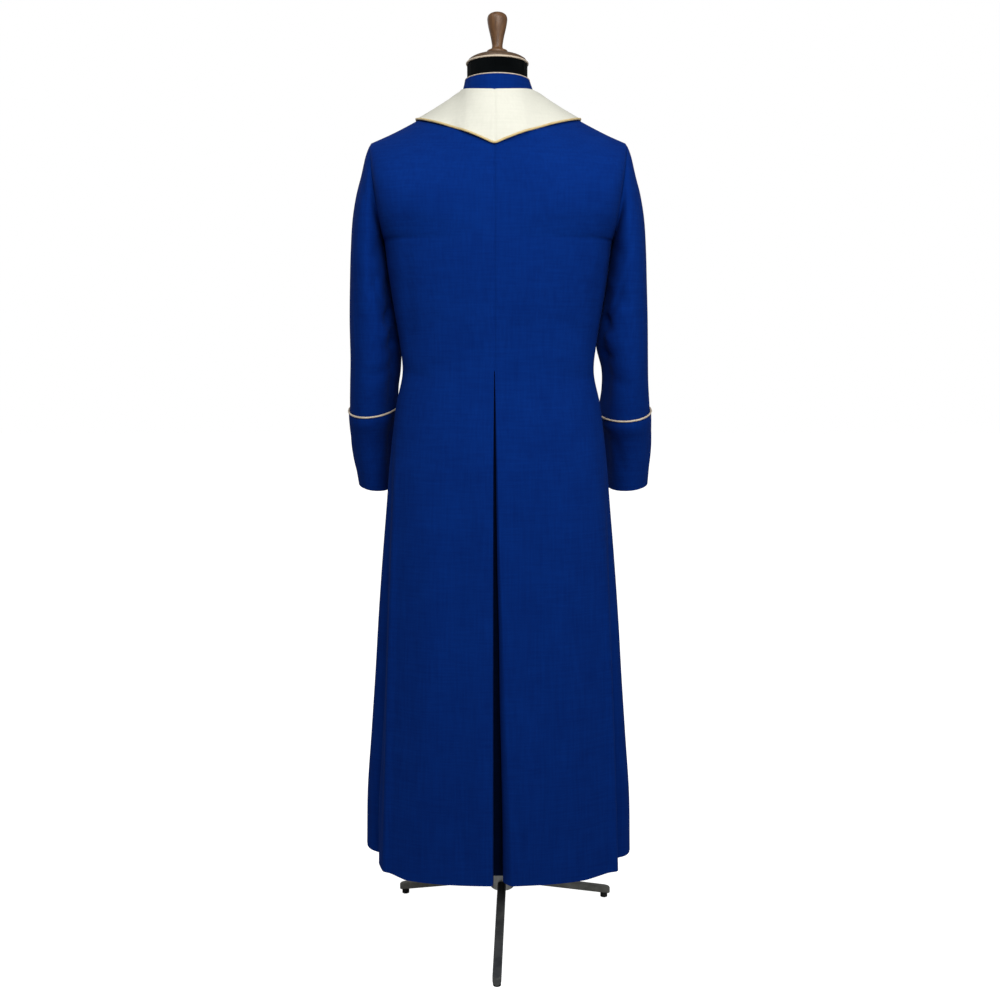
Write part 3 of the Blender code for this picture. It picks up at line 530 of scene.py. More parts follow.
def cut_of(grid, closed=False):
    """Width, length and area of the cloth that a grid was cut from."""
    rows = np.concatenate((grid, grid[:, :1]), axis=1) if closed else grid
    width = np.nansum(np.linalg.norm(np.diff(rows, axis=1), axis=-1), axis=1)
    length = np.nansum(np.linalg.norm(np.diff(grid, axis=0), axis=-1), axis=0)
    quads = cells(~np.isnan(rows).any(axis=-1), False)
    flat = rows.reshape(-1, 3)
    one, two = flat[quads[:, 2]] - flat[quads[:, 0]], flat[quads[:, 3]] - flat[quads[:, 1]]
    area = np.linalg.norm(np.cross(one, two), axis=-1).sum() / 2
    return round(float(width.max()), 2), round(float(length.max()), 2), round(float(area), 3)


def declare(piece, node, cut, finish):
    """Give a piece of cloth its finish, attach it to the root, hide the node it replaces and print its cut.
    """
    piece.data.materials.append(finish)
    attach(piece, "root")
    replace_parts(piece, node)
    print("%-18s cut %.2f x %.2f m, %.3f m2, %d faces" % (piece.name, *cut, len(piece.data.polygons)))


print("a quarter is cut from %.2f x %.2f m, %.3f m2" % cut_of(trial))

# %% [markdown]
# ## Finishes
# Every finish is built from nodes, at the scale of the real thing: threads under a millimetre, slow changes
# of shade over some centimetres. A small helper keeps each recipe short.

# %% A helper for finishes


def recipe(name, roughness, metallic=0.0, sheen=0.0, sheen_rough=0.5, coat=0.0, specular=0.5):
    """A new material with its shader, and a function that adds a node and sets its inputs."""
    finish = bpy.data.materials.new(name)
    finish.use_nodes = True
    tree = finish.node_tree
    shader = tree.nodes["Principled BSDF"]
    constants = {"Roughness": roughness, "Metallic": metallic, "Sheen Weight": sheen, "Coat Weight": coat,
                 "Sheen Roughness": sheen_rough, "Specular IOR Level": specular}
    for socket, value in constants.items():
        shader.inputs[socket].default_value = value

    def node(kind, settings=None, **inputs):
        new = tree.nodes.new(kind)
        for key, value in (settings or {}).items():
            setattr(new, key, value)
        for key, value in inputs.items():
            numbered = key[0] == "i" and key[1:].isdigit()
            socket = new.inputs[int(key[1:]) if numbered else key.replace("_", " ")]
            if isinstance(value, bpy.types.NodeSocket):
                tree.links.new(value, socket)
            else:
                socket.default_value = value
        return new

    place = node("ShaderNodeTexCoord").outputs["Object"]
    return finish, tree, shader, node, place


def shade_between(node, factor, dark, light):
    """A colour that runs from dark to light with a texture."""
    ramp = node("ShaderNodeValToRGB", Fac=factor)
    ramp.color_ramp.elements[0].position, ramp.color_ramp.elements[1].position = 0.3, 0.7
    ramp.color_ramp.elements[0].color = (*dark, 1.0)
    ramp.color_ramp.elements[1].color = (*light, 1.0)
    return ramp.outputs["Color"]


print("finishes start with", len(bpy.data.materials), "materials in the file")

# %% [markdown]
# ## Wool cloth
# The coat is a fine wool twill: diagonal ribs under a millimetre apart, a slightly uneven thread that runs
# up the cloth, and a soft nap that lightens it at grazing angles. The ivory collar is the same cloth in
# another dye.

# %% Wool twill
RIB = 0.0011                    # metres between two ribs of the twill
BLUE_NAP, IVORY_NAP = (0.1, 0.3, 1.0), (1.0, 1.0, 0.95)


def wool(name, dark, light, sheen, tint, bump):
    """Wool twill in one dye, from its darker to its lighter thread."""
    finish, tree, shader, node, place = recipe(name, 0.95, sheen=sheen, sheen_rough=0.45, specular=0.06)
    shader.inputs["Sheen Tint"].default_value = (*tint, 1.0)
    ribs = node("ShaderNodeTexWave", {"bands_direction": "DIAGONAL"}, Vector=place,
                Scale=2 * math.pi / 10 / RIB, Distortion=1.5, Detail=1.0)
    upright = node("ShaderNodeMapping", Vector=place)
    upright.inputs["Scale"].default_value = (260, 260, 14)
    warp = node("ShaderNodeTexNoise", Vector=upright.outputs[0], Scale=1.0, Detail=3.0)
    level = node("ShaderNodeMapping", Vector=place)
    level.inputs["Scale"].default_value = (22, 22, 320)
    weft = node("ShaderNodeTexNoise", Vector=level.outputs[0], Scale=1.0, Detail=3.0)
    threads = node("ShaderNodeMath", {"operation": "ADD"}, i0=warp.outputs["Fac"], i1=weft.outputs["Fac"])
    threads = node("ShaderNodeMath", {"operation": "MULTIPLY"}, i0=threads.outputs[0], i1=0.5)
    patches = node("ShaderNodeTexNoise", Vector=place, Scale=16.0, Detail=4.0)
    tone = node("ShaderNodeMath", {"operation": "MULTIPLY_ADD"}, i0=patches.outputs["Fac"], i1=0.35,
                i2=-0.175)
    tone = node("ShaderNodeMath", {"operation": "ADD"}, i0=tone.outputs[0], i1=threads.outputs[0])
    tree.links.new(shade_between(node, tone.outputs[0], dark, light), shader.inputs["Base Color"])
    height = node("ShaderNodeMath", {"operation": "MULTIPLY_ADD"}, i0=ribs.outputs["Fac"], i1=0.35,
                  i2=threads.outputs[0])
    relief = node("ShaderNodeBump", Strength=bump, Distance=0.0006, Height=height.outputs[0])
    tree.links.new(relief.outputs[0], shader.inputs["Normal"])
    return finish


BLUE_WOOL = wool("blue wool", (0.0003, 0.0165, 0.140), (0.0008, 0.0245, 0.186), 0.02, BLUE_NAP, 0.35)
# painted shade: the underlay's wool is the coat's blue made much darker, standing in for the pleat's shadow
PLEAT_SHADE_WOOL = wool("blue wool with painted pleat shade", (0.0002, 0.003, 0.018), (0.0003, 0.005, 0.028), 0, BLUE_NAP, 0.35)
IVORY_WOOL = wool("ivory wool", (0.650, 0.647, 0.562), (0.700, 0.695, 0.608), 0.03, IVORY_NAP, 0.25)
print("twill ribs are %.1f mm apart" % (1000 * RIB))

# %% [markdown]
# ## Satin cord and velvet
# The pipings are cord in a satin cover cut on the bias, so fine lines wind round it. The form is covered in
# black velvet: nearly no light comes back from it, except a soft nap at its edges.

# %% Cord and velvet


def satin(name, dark, light):
    """Satin bias cover of a cord."""
    finish, tree, shader, node, place = recipe(name, 0.55, sheen=0.1)
    lines = node("ShaderNodeTexWave", {"bands_direction": "DIAGONAL"}, Vector=place, Scale=420.0,
                 Distortion=2.0)
    spots = node("ShaderNodeTexNoise", Vector=place, Scale=150.0, Detail=3.0)
    both = node("ShaderNodeMath", {"operation": "MULTIPLY_ADD"}, i0=lines.outputs["Fac"], i1=0.35,
                i2=spots.outputs["Fac"])
    tree.links.new(shade_between(node, both.outputs[0], dark, light), shader.inputs["Base Color"])
    relief = node("ShaderNodeBump", Strength=0.4, Distance=0.0004, Height=lines.outputs["Fac"])
    tree.links.new(relief.outputs[0], shader.inputs["Normal"])
    return finish


def velvet():
    """Black pile with its nap."""
    finish, tree, shader, node, place = recipe("black velvet", 0.95, sheen=0.06, sheen_rough=0.35,
                                               specular=0.04)
    shader.inputs["Sheen Tint"].default_value = (0.35, 0.38, 0.40, 1.0)
    pile = node("ShaderNodeTexNoise", Vector=place, Scale=900.0, Detail=2.0)
    brushed = node("ShaderNodeTexNoise", Vector=place, Scale=25.0, Detail=3.0)
    shade = shade_between(node, brushed.outputs["Fac"], (0.0009, 0.0014, 0.0017), (0.0025, 0.0034, 0.0038))
    tree.links.new(shade, shader.inputs["Base Color"])
    relief = node("ShaderNodeBump", Strength=0.5, Distance=0.0008, Height=pile.outputs["Fac"])
    tree.links.new(relief.outputs[0], shader.inputs["Normal"])
    return finish


GOLD_SATIN = satin("gold satin", (0.50, 0.37, 0.13), (0.66, 0.51, 0.24))
CHAMPAGNE_SATIN = satin("champagne satin", (0.50, 0.39, 0.27), (0.66, 0.55, 0.42))
VELVET = velvet()
print("soft finishes:", [each.name for each in bpy.data.materials])

# %% [markdown]
# ## Wood, metal and rubber
# The cap and the knob are turned from brown wood under a satin varnish, so the grain runs upward. The stand
# is brushed grey metal with darker, worn places, and its feet are black rubber.

# %% Hard finishes


def turned_wood(name, dark, light):
    """Varnished brown wood with upright grain."""
    finish, tree, shader, node, place = recipe(name, 0.50, coat=0.06)
    upright = node("ShaderNodeMapping", Vector=place)
    upright.inputs["Scale"].default_value = (260, 260, 26)
    grain = node("ShaderNodeTexNoise", Vector=upright.outputs[0], Scale=1.0, Detail=6.0, Distortion=0.6)
    tree.links.new(shade_between(node, grain.outputs["Fac"], dark, light), shader.inputs["Base Color"])
    relief = node("ShaderNodeBump", Strength=0.25, Distance=0.0003, Height=grain.outputs["Fac"])
    tree.links.new(relief.outputs[0], shader.inputs["Normal"])
    return finish


def worn_metal(name, dark, light, metallic, roughness):
    """Brushed metal with cloudy wear."""
    finish, tree, shader, node, place = recipe(name, roughness, metallic=metallic)
    clouds = node("ShaderNodeTexNoise", Vector=place, Scale=45.0, Detail=5.0)
    tree.links.new(shade_between(node, clouds.outputs["Fac"], dark, light), shader.inputs["Base Color"])
    stretched = node("ShaderNodeMapping", Vector=place)
    stretched.inputs["Scale"].default_value = (900, 900, 60)
    brushing = node("ShaderNodeTexNoise", Vector=stretched.outputs[0], Scale=1.0, Detail=2.0)
    relief = node("ShaderNodeBump", Strength=0.15, Distance=0.0002, Height=brushing.outputs["Fac"])
    tree.links.new(relief.outputs[0], shader.inputs["Normal"])
    return finish


def rubber():
    """Black rubber, a little dusty."""
    finish, tree, shader, node, place = recipe("black rubber", 0.8, specular=0.3)
    dust = node("ShaderNodeTexNoise", Vector=place, Scale=120.0, Detail=4.0)
    tree.links.new(shade_between(node, dust.outputs["Fac"], (0.006, 0.006, 0.006), (0.03, 0.03, 0.028)),
                   shader.inputs["Base Color"])
    return finish


KNOB_WOOD = turned_wood("knob wood", (0.078, 0.034, 0.012), (0.165, 0.078, 0.028))
CAP_WOOD = turned_wood("cap wood", (0.055, 0.030, 0.014), (0.12, 0.068, 0.032))
# painted light and shade: the near leg gets a darker copy of the stand's metal, the side legs a lighter one
NEAR_LEG_SHADED_METAL = worn_metal("metal of the near leg with painted shade", (0.062, 0.066, 0.069), (0.135, 0.138, 0.132), 0.55, 0.42)
SIDE_LEG_LIT_METAL = worn_metal("metal of the side legs with painted light", (0.13, 0.13, 0.115), (0.26, 0.26, 0.235), 0.35, 0.5)
POLE_METAL = worn_metal("pole metal", (0.22, 0.22, 0.21), (0.42, 0.42, 0.40), 0.95, 0.28)
RUBBER = rubber()
print("all finishes:", len(bpy.data.materials))

# %% [markdown]
# ## Sew the coat
# With the grids, the shell and the finishes ready, the four quarters are made in one loop. What each is cut
# from is measured on its own grid, because wool cloth hardly stretches.

# %% Quarters of the coat


def away_from_axis(point):
    """The level direction from the form's axis to a point."""
    return np.array((point[0], point[1], 0.0))


for label, side in SIDES.items():
    for half in HALVES:
        grid = quarter(half, side)
        if half == "back":
            grid = add_return(grid, side)
        name = f"{half}_{label}"
        piece = shell(f"cloth_{name}", grid, away_from_axis)
        declare(piece, name, cut_of(grid), BLUE_WOOL)

# %% [markdown]
# ## Underlay of the pleat
# The underlay lies just behind the two returns, and sinks with them towards the hem. Its blue is painted
# much darker than the coat's, as painted shade for the bottom of the pleat, where hardly any light reaches.

# %% Underlay
UNDERLAY_GAP = 0.0042


def underlay():
    """The cloth that closes the bottom of the pleat."""
    height = np.linspace(PLEAT_TOP, HEM, 150)[:, None]
    left, right = measure(PLEAT_LEFT, height) - RETURN_REACH, measure(PLEAT_RIGHT, height) + RETURN_REACH
    y = pleat_depth(height) + UNDERLAY_GAP - measure(BACK, height)
    return points(mix(left, right, np.linspace(0, 1, 25)[None, :]), y, height)


grid = underlay()
piece = shell("cloth_pleat_underlay", grid, away_from_axis)
declare(piece, "pleat_underlay", cut_of(grid), PLEAT_SHADE_WOOL)

# %% [markdown]
# ## Sleeves
# A sleeve is a tube sewn into the armhole. Its rings come from the places of its outer and inner edge, and
# a smooth curve through each row of ring points makes the cloth. The left arm differs a little from the
# right one, which three columns of the table say, and the forearms hang forward.

# %% Rings of the sleeves
OUTER_X, OUTER_Z, INNER_X, INNER_Z, MIDDLE_Y, HALF_DEPTH, LEFT_OUT, LEFT_IN, LEFT_RISE, LEAN = range(10)
SLEEVE = np.array((
    (0.2455, 1.5020, 0.2132, 1.3390, 0.000, 0.074, 0.000, 0.0000, 0.000, 0.00),
    (0.2545, 1.4660, 0.2102, 1.3200, 0.000, 0.077, 0.000, 0.0000, 0.000, 0.00),
    (0.2645, 1.4295, 0.2077, 1.2950, 0.000, 0.078, 0.000, 0.0000, 0.000, 0.00),
    (0.2725, 1.3850, 0.2041, 1.2650, 0.002, 0.077, 0.000, 0.0000, 0.000, 0.00),
    (0.2770, 1.3300, 0.1994, 1.2330, 0.004, 0.075, 0.000, 0.0000, 0.000, 0.00),
    (0.2800, 1.2700, 0.1935, 1.1960, 0.007, 0.072, 0.000, 0.0000, 0.000, 0.00),
    (0.2835, 1.2000, 0.1888, 1.1530, 0.012, 0.068, -0.001, 0.0012, 0.000, 0.04),
    (0.2860, 1.1300, 0.2000, 1.1080, 0.019, 0.064, -0.003, 0.0105, 0.000, 0.10),
    (0.2885, 1.0850, 0.2015, 1.0700, 0.028, 0.061, -0.003, 0.0070, 0.006, 0.18),
    (0.2930, 1.0400, 0.1980, 1.0320, 0.039, 0.058, -0.005, 0.0005, 0.013, 0.26),
    (0.2950, 1.0120, 0.2015, 1.0050, 0.046, 0.057, -0.007, 0.0010, 0.019, 0.28)))
CUFF = np.array((
    (0.2970, 0.9850, 0.2060, 0.9800, 0.0610, 0.0550, -0.0095, 0.0030, 0.014, 0.27),
    (0.2975, 0.9400, 0.2090, 0.9350, 0.0780, 0.0530, -0.0140, 0.0040, 0.006, 0.23),
    (0.2960, 0.8820, 0.2110, 0.8760, 0.0960, 0.0510, -0.0190, 0.0060, 0.000, 0.18)))
CUFF_START = 0.45       # where a cuff starts between the last two rings of its sleeve
INNER_FORWARD = 0.030   # metres by which a sleeve's inner edge lies before its middle
CUFF_LIFT = 0.0028      # metres between the sleeve and the outer side of its cuff
ROUND = 96              # points round a sleeve
SLEEVE_STEPS, CUFF_STEPS = 12, 14


def sleeve_ring(ring, side, grow=0.0):
    """Points round one ring, from the outer edge round the back."""
    left = max(0, -side)
    outer = np.array((ring[OUTER_X] + left * ring[LEFT_OUT], 0, ring[OUTER_Z]))
    inner = np.array((ring[INNER_X] - left * ring[LEFT_IN], 0, ring[INNER_Z] + left * ring[LEFT_RISE]))
    reach = (outer - inner) / 2
    reach = reach * (1 + grow / np.linalg.norm(reach))
    turn = 2 * math.pi * np.arange(ROUND) / ROUND
    line = (outer + inner) / 2 + reach * np.cos(turn)[:, None]
    forward = -(ring[HALF_DEPTH] + grow) * np.sin(turn)
    skew = INNER_FORWARD * ((1 - np.cos(turn)) / 2) ** 3
    return points(side * line[:, 0], ring[MIDDLE_Y] + forward + skew, line[:, 2] + ring[LEAN] * forward)


def smooth_tube(rings, steps):
    """Rings joined by a smooth curve through each row of their points."""
    rings = np.asarray(rings)
    slopes = np.gradient(rings, axis=0)
    rows = []
    for at in range(len(rings) - 1):
        for t in np.arange(steps) / steps:
            rows.append(soft_curve(t, rings[at], rings[at + 1], slopes[at], slopes[at + 1]))
    return np.array(rows + [rings[-1]])


print("sleeve rings:", len(SLEEVE), "cuff rings:", len(CUFF))

# %% [markdown]
# The creases lie on the unrolled tube: how far round, how far down. They gather below the armhole and at the
# inside of the elbow, as cloth does when the arm hangs forward. One long hollow runs down the inner side of
# each sleeve, and a seam down the hind arm. No crease may push the cloth into the coat beside it.

# %% Creases of the sleeves
FLAT_RADIUS = 0.058     # metres, for laying a tube out flat
HIND_SEAM, HIND_DIP, HIND_REACH = 52, 0.0011, 0.0022    # degrees from the outer edge, and metres
CREASE_GAIN, INNER_PUSH = 1.7, 0.0006                   # the second is the most on the side of the coat
SLEEVE_CREASES = {      # degrees round and metres down at the start and at the end, width, depth
    "left": (
        (150, 0.02, 95, 0.13, 0.011, -0.0035),
        (165, 0.06, 110, 0.17, 0.010, 0.0030),
        (140, 0.10, 85, 0.20, 0.010, -0.0026),
        (170, 0.17, 118, 0.235, 0.011, -0.0042),
        (160, 0.215, 100, 0.265, 0.009, 0.0028),
        (172, 0.25, 112, 0.285, 0.010, -0.0036),
        (150, 0.31, 70, 0.345, 0.011, -0.0020),
        (60, 0.05, 40, 0.20, 0.014, 0.0016),
        (205, 0.04, 250, 0.15, 0.011, -0.0032),
        (190, 0.18, 240, 0.25, 0.010, -0.0040),
        (195, 0.25, 262, 0.29, 0.011, -0.0030),
        (290, 0.10, 315, 0.26, 0.014, -0.0018),
        (149, 0.00, 146, 0.52, 0.021, -0.0062),
        (92, 0.12, 150, 0.27, 0.012, -0.0026)),
    "right": (
        (152, 0.03, 100, 0.12, 0.012, -0.0032),
        (168, 0.09, 105, 0.19, 0.010, 0.0028),
        (145, 0.13, 80, 0.225, 0.011, -0.0030),
        (172, 0.19, 115, 0.25, 0.010, -0.0044),
        (158, 0.235, 95, 0.28, 0.009, 0.0026),
        (170, 0.275, 120, 0.30, 0.010, -0.0032),
        (148, 0.33, 75, 0.36, 0.012, -0.0018),
        (58, 0.08, 44, 0.24, 0.013, 0.0014),
        (208, 0.05, 245, 0.16, 0.012, -0.0034),
        (188, 0.20, 238, 0.26, 0.010, -0.0036),
        (198, 0.27, 258, 0.31, 0.011, -0.0028),
        (285, 0.12, 320, 0.25, 0.013, -0.0020),
        (151, 0.02, 148, 0.46, 0.019, -0.0046),
        (90, 0.14, 152, 0.25, 0.011, -0.0026))}


def tube_push(grid, creases, calm_rows=1):
    """A tube with its creases and its hind-arm seam, each along the way out from its ring's middle."""
    middle = grid.mean(axis=1, keepdims=True)
    out = grid - middle
    radius = np.linalg.norm(out, axis=-1)
    down = np.concatenate(((0,), np.cumsum(np.linalg.norm(np.diff(grid.mean(axis=1), axis=0), axis=-1))))
    one_degree = FLAT_RADIUS * math.pi / 180
    round_by = one_degree * np.arange(ROUND) * 360 / ROUND
    flat = np.stack(np.broadcast_arrays(round_by[None, :], down[:, None]), axis=-1)
    push = CREASE_GAIN * crease_push(flat, np.array(creases) * (one_degree, 1, one_degree, 1, 1, 1))
    push = np.where(out[..., 0] * middle[..., 0] < 0, np.minimum(push, INNER_PUSH), push)
    push *= np.clip((np.arange(len(grid)) - calm_rows + 1) / calm_rows, 0, 1)[:, None]
    push -= HIND_DIP * np.exp(-((flat[..., 0] - one_degree * HIND_SEAM) / HIND_REACH) ** 2)
    return grid + out / radius[..., None] * push[..., None]


print("sleeve creases:", {label: len(rows) for label, rows in SLEEVE_CREASES.items()})

# %% Sew the sleeves
SLEEVE_CALM = (10, 14)      # rows without creases at the armhole and near the cuff
ARMHOLE_REACH = 1.6         # rows over which the cloth dips to the armhole's seam


def sleeve(label, side):
    """The cloth of one sleeve, from the armhole to just inside its cuff."""
    turn = 2 * np.arange(ROUND) / ROUND
    back, front = armhole("back", side, turn), armhole("front", side, 2 - turn)
    first = np.where((turn <= 1)[:, None], back, front)
    rings = [first] + [sleeve_ring(ring, side) for ring in SLEEVE]
    grid = smooth_tube(rings, SLEEVE_STEPS)
    row = np.arange(len(grid))[:, None, None]
    ease = np.minimum(1, row / SLEEVE_CALM[0]) * np.minimum(1, row[::-1] / SLEEVE_CALM[1])
    pushed = mix(grid, tube_push(grid, SLEEVE_CREASES[label]), ease)
    out = grid - grid.mean(axis=1, keepdims=True)
    dip = SEAM_DIP * np.exp(-(row / ARMHOLE_REACH) ** 2)
    return pushed - out / np.linalg.norm(out, axis=-1, keepdims=True) * dip


def tube_out(grid):
    """Way out of a tube at a point of it."""
    rings = grid.mean(axis=1)
    return lambda point: point - rings[np.argmin(np.linalg.norm(rings - point, axis=-1))]


for label, side in SIDES.items():
    grid = sleeve(label, side)
    piece = shell(f"cloth_sleeve_{label}", grid, tube_out(grid), closed=True)
    declare(piece, f"sleeve_{label}", cut_of(grid, True),
            BLUE_WOOL)

# %% [markdown]
# ## Cuffs
# Each cuff is a deep turned-back band that lies round the end of its sleeve. A cord in a satin cover runs
# along its upper edge. The cord is a Blender curve with a round bevel, which keeps its thickness round
# every bend.

# %% Cuffs and their pipings
CUFF_PIPING = 0.00175
CUFF_CALM = 15                                  # rows over which the creases set in below a cuff's edge
PIPING_ABOVE, PIPING_OUT = 0.0006, 0.0009       # metres over the cuff's edge, and outside the sleeve
CUFF_CREASES = {
    "left": (
        (120, 0.03, 95, 0.11, 0.012, -0.0016),
        (200, 0.02, 230, 0.10, 0.012, -0.0018),
        (20, 0.05, 8, 0.13, 0.010, 0.0012),
        (148, -0.06, 146, 0.22, 0.021, -0.0050)),
    "right": (
        (128, 0.02, 100, 0.12, 0.012, -0.0018),
        (210, 0.03, 240, 0.12, 0.013, -0.0016),
        (15, 0.04, 25, 0.12, 0.010, 0.0012),
        (150, -0.06, 148, 0.22, 0.019, -0.0034))}


def cord(name, line, radius, finish, closed=False):
    """A round cord along a line of points."""
    curve = bpy.data.curves.new(name, "CURVE")
    curve.dimensions = "3D"
    curve.bevel_depth = radius
    curve.bevel_resolution = 3
    curve.use_fill_caps = not closed
    spline = curve.splines.new("POLY")
    spline.points.add(len(line) - 1)
    spline.points.foreach_set("co", np.column_stack((line + AXIS, np.ones(len(line)))).ravel())
    spline.use_cyclic_u = closed
    spline.use_smooth = True
    curve.materials.append(finish)
    piece = bpy.data.objects.new(name, curve)
    collection.objects.link(piece)
    return piece


def trim(piece, node):
    """Attach a piping to the root and hide the node it replaces."""
    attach(piece, "root")
    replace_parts(piece, node)
    print("%-18s %d points" % (piece.name, len(piece.data.splines[0].points)))


first = mix(SLEEVE[-2], SLEEVE[-1], CUFF_START)
rise = (CUFF_PIPING + PIPING_ABOVE) / (SLEEVE[-2, OUTER_Z] - SLEEVE[-1, OUTER_Z])
above = mix(SLEEVE[-2], SLEEVE[-1], CUFF_START - rise)
for label, side in SIDES.items():
    rings = [sleeve_ring(ring, side, CUFF_LIFT) for ring in (first, SLEEVE[-1], *CUFF)]
    grid = tube_push(smooth_tube(rings, CUFF_STEPS), CUFF_CREASES[label], CUFF_CALM)
    piece = shell(f"cloth_cuff_{label}", grid, tube_out(grid), closed=True)
    declare(piece, f"cuff_{label}", cut_of(grid, True),
            BLUE_WOOL)
    line = sleeve_ring(above, side, CUFF_PIPING + PIPING_OUT)
    piping = cord(f"cord_cuff_{label}", line, CUFF_PIPING, CHAMPAGNE_SATIN, closed=True)
    trim(piping, f"cuff_piping_{label}")

# %% [markdown]
# ## Stand collar
# The stand collar is a band sewn to the neckline. Its lower edge is the neckline itself and its upper edge
# a level oval, so it leans in a little towards the neck. A thin cord finishes the upper edge.

# %% Stand collar and its piping
STAND_TOP = {"x": 0.0600, "back": 0.0680, "front": 0.0750, "z": 1.636}
STAND_OPENING = 0.0015          # metres from the middle to each front end
FORM_X = -0.002                 # the form's neck stands a little to the left
NECKLINE_GAP, STAND_PIPING, PIPING_GAP = 0.0006, 0.0010, 0.0002
NECK_STEPS = np.linspace(0, math.pi / 2, 31)


def stand_collar():
    """Rows of the stand collar from its upper edge down, from the left front end round to the right one."""
    rows = []
    for half, side, turn in (("front", -1, NECK_STEPS), ("back", -1, NECK_STEPS[::-1][1:]),
                             ("back", 1, NECK_STEPS[1:]), ("front", 1, NECK_STEPS[::-1][1:])):
        low = neckline(half, side, turn) + (0, 0, NECKLINE_GAP)
        out = STAND_TOP["x"] * np.sin(turn)
        if half == "front":
            out = np.maximum(out, STAND_OPENING)
            low[:, 0] = np.where(np.abs(low[:, 0]) < STAND_OPENING, side * STAND_OPENING, low[:, 0])
        y = HALVES[half]["sign"] * STAND_TOP[half] * np.cos(turn)
        top = points(FORM_X + side * out, y, STAND_TOP["z"])
        rows.append(mix(top[None], low[None], np.linspace(0, 1, 13)[:, None, None]))
    return np.concatenate(rows, axis=1)


grid = stand_collar()
piece = shell("cloth_stand_collar", grid, away_from_axis)
declare(piece, "stand_collar", cut_of(grid), BLUE_WOOL)
centre = np.array((FORM_X, 0, STAND_TOP["z"]))
inward = (centre - grid[0]) / np.linalg.norm(centre - grid[0], axis=-1, keepdims=True)
line = grid[0] + inward * THICKNESS / 2 + (0, 0, STAND_PIPING + PIPING_GAP)
trim(cord("cord_stand_collar", line, STAND_PIPING, CHAMPAGNE_SATIN), "stand_collar_piping")

# %% [markdown]
# ## Cape collar
# The ivory collar lies over the shoulders like a small cape and comes to a point at the middle of the back.
# It rests on the coat, so its shape starts as the coat's own surface lifted a few millimetres: least at its
# edge, and a little more between the edge and the neck, where it stands free. Then it is smoothed as stiff
# cloth would lie.

# %% Edges of the cape collar
CAPE = {"point_z": 1.5100, "side_x": 0.152, "bow": 0.003, "front_x": 0.085, "front_z": 1.430}
CAPE_BACK, CAPE_FRONT = 56, 44
FRONT_START = 0.12          # where on the neckline the front edges start


def on_yoke(half, side, x, z):
    """Share and fall of the yoke's points that have these distances from the middle and these heights."""
    share, down = np.full(x.shape, 0.5), np.full(x.shape, 0.3)
    small = 1e-4
    for _ in range(40):     # each round comes much closer to the wanted places
        here = yoke_points(half, side, share, down)
        along = (yoke_points(half, side, share + small, down) - here) / small
        below = (yoke_points(half, side, share, down + small) - here) / small
        miss_x, miss_z = x - here[..., 0], z - here[..., 2]
        size = along[..., 0] * below[..., 2] - below[..., 0] * along[..., 2]
        share = np.clip(share + (miss_x * below[..., 2] - miss_z * below[..., 0]) / size, 0, 0.97)
        down = np.clip(down + (along[..., 0] * miss_z - along[..., 2] * miss_x) / size, 0, 0.97)
    return share, down


def cape_edges(half, side):
    """Start at the neck and end at the edge of each line across the collar, as shares and falls."""
    neck = NECK_X / TIP_X
    shoulder = shoulder_z(CAPE["side_x"])
    count = CAPE_BACK if half == "back" else CAPE_FRONT
    out = np.linspace(0, 1, count + 1)
    if half == "back":
        x = HALVES["back"]["middle"] * (1 - out) + side * CAPE["side_x"] * out
        z = mix(CAPE["point_z"], shoulder, out) + CAPE["bow"] * np.sin(math.pi * out)
        neck_share = neck * np.sin(math.pi / 2 * out)
    else:
        x = side * mix(CAPE["front_x"], CAPE["side_x"], out)
        z = mix(CAPE["front_z"], shoulder, out) + 2 * CAPE["bow"] * np.sin(math.pi * out)
        neck_share = neck * np.sin(math.pi / 2 * mix(FRONT_START, 1, out))
    share, down = on_yoke(half, side, x, z)
    share[-1], down[-1] = CAPE["side_x"] / TIP_X, 0.0
    if half == "back":
        share[0] = 0.0
    return neck_share, share, down


print("cape collar: point at %.3f m, front ends at %.3f m" % (CAPE["point_z"], CAPE["front_z"]))

# %% Lift of the cape collar
CAPE_ROWS = 36
CAPE_LIFT, CAPE_LOFT = 0.0026, 0.0046       # over the coat at the edge, and further between edge and neck
BLEND_SHARE, BLEND_FALL = 0.12, 0.05        # where the ways out of the back and the front blend


def yoke_normals(half, side, share, down):
    """Outward directions of the yoke."""
    small = 2e-3
    low = np.maximum(down, small)
    inner = np.maximum(share, small)
    here = yoke_points(half, side, inner, low)
    along = yoke_points(half, side, inner + small, low) - here
    below = yoke_points(half, side, inner, low + small) - here
    normals = np.cross(below, along)
    normals /= np.linalg.norm(normals, axis=-1, keepdims=True)
    return -normals if (side < 0) != (half == "front") else normals


def cape_part(half, side):
    """Outer points of the collar on one quarter: rows from the neck to the edge."""
    neck_share, edge_share, edge_down = cape_edges(half, side)
    out = np.linspace(0, 1, CAPE_ROWS + 1)[:, None]
    share, down = mix(neck_share[None], edge_share[None], out), mix(0.0, edge_down[None], out)
    normals = yoke_normals(half, side, share, down)
    other = yoke_normals("front" if half == "back" else "back", side, share, 0 * down)
    past_neck = smooth(np.clip((share - NECK_X / TIP_X) / BLEND_SHARE, 0, 1))
    near_seam = (np.exp(-(down / BLEND_FALL) ** 2) * past_neck / 2)[..., None]
    normals = mix(normals, other, near_seam)
    if half == "back":
        normals[:, 0, 0] = 0.0
    normals /= np.linalg.norm(normals, axis=-1, keepdims=True)
    lift = THICKNESS + CAPE_LIFT + CAPE_LOFT * np.sqrt(np.maximum(0, np.sin(math.pi * out)))
    coat = yoke_points(half, side, share, down)
    return np.stack((coat + normals * lift[..., None], coat, normals))


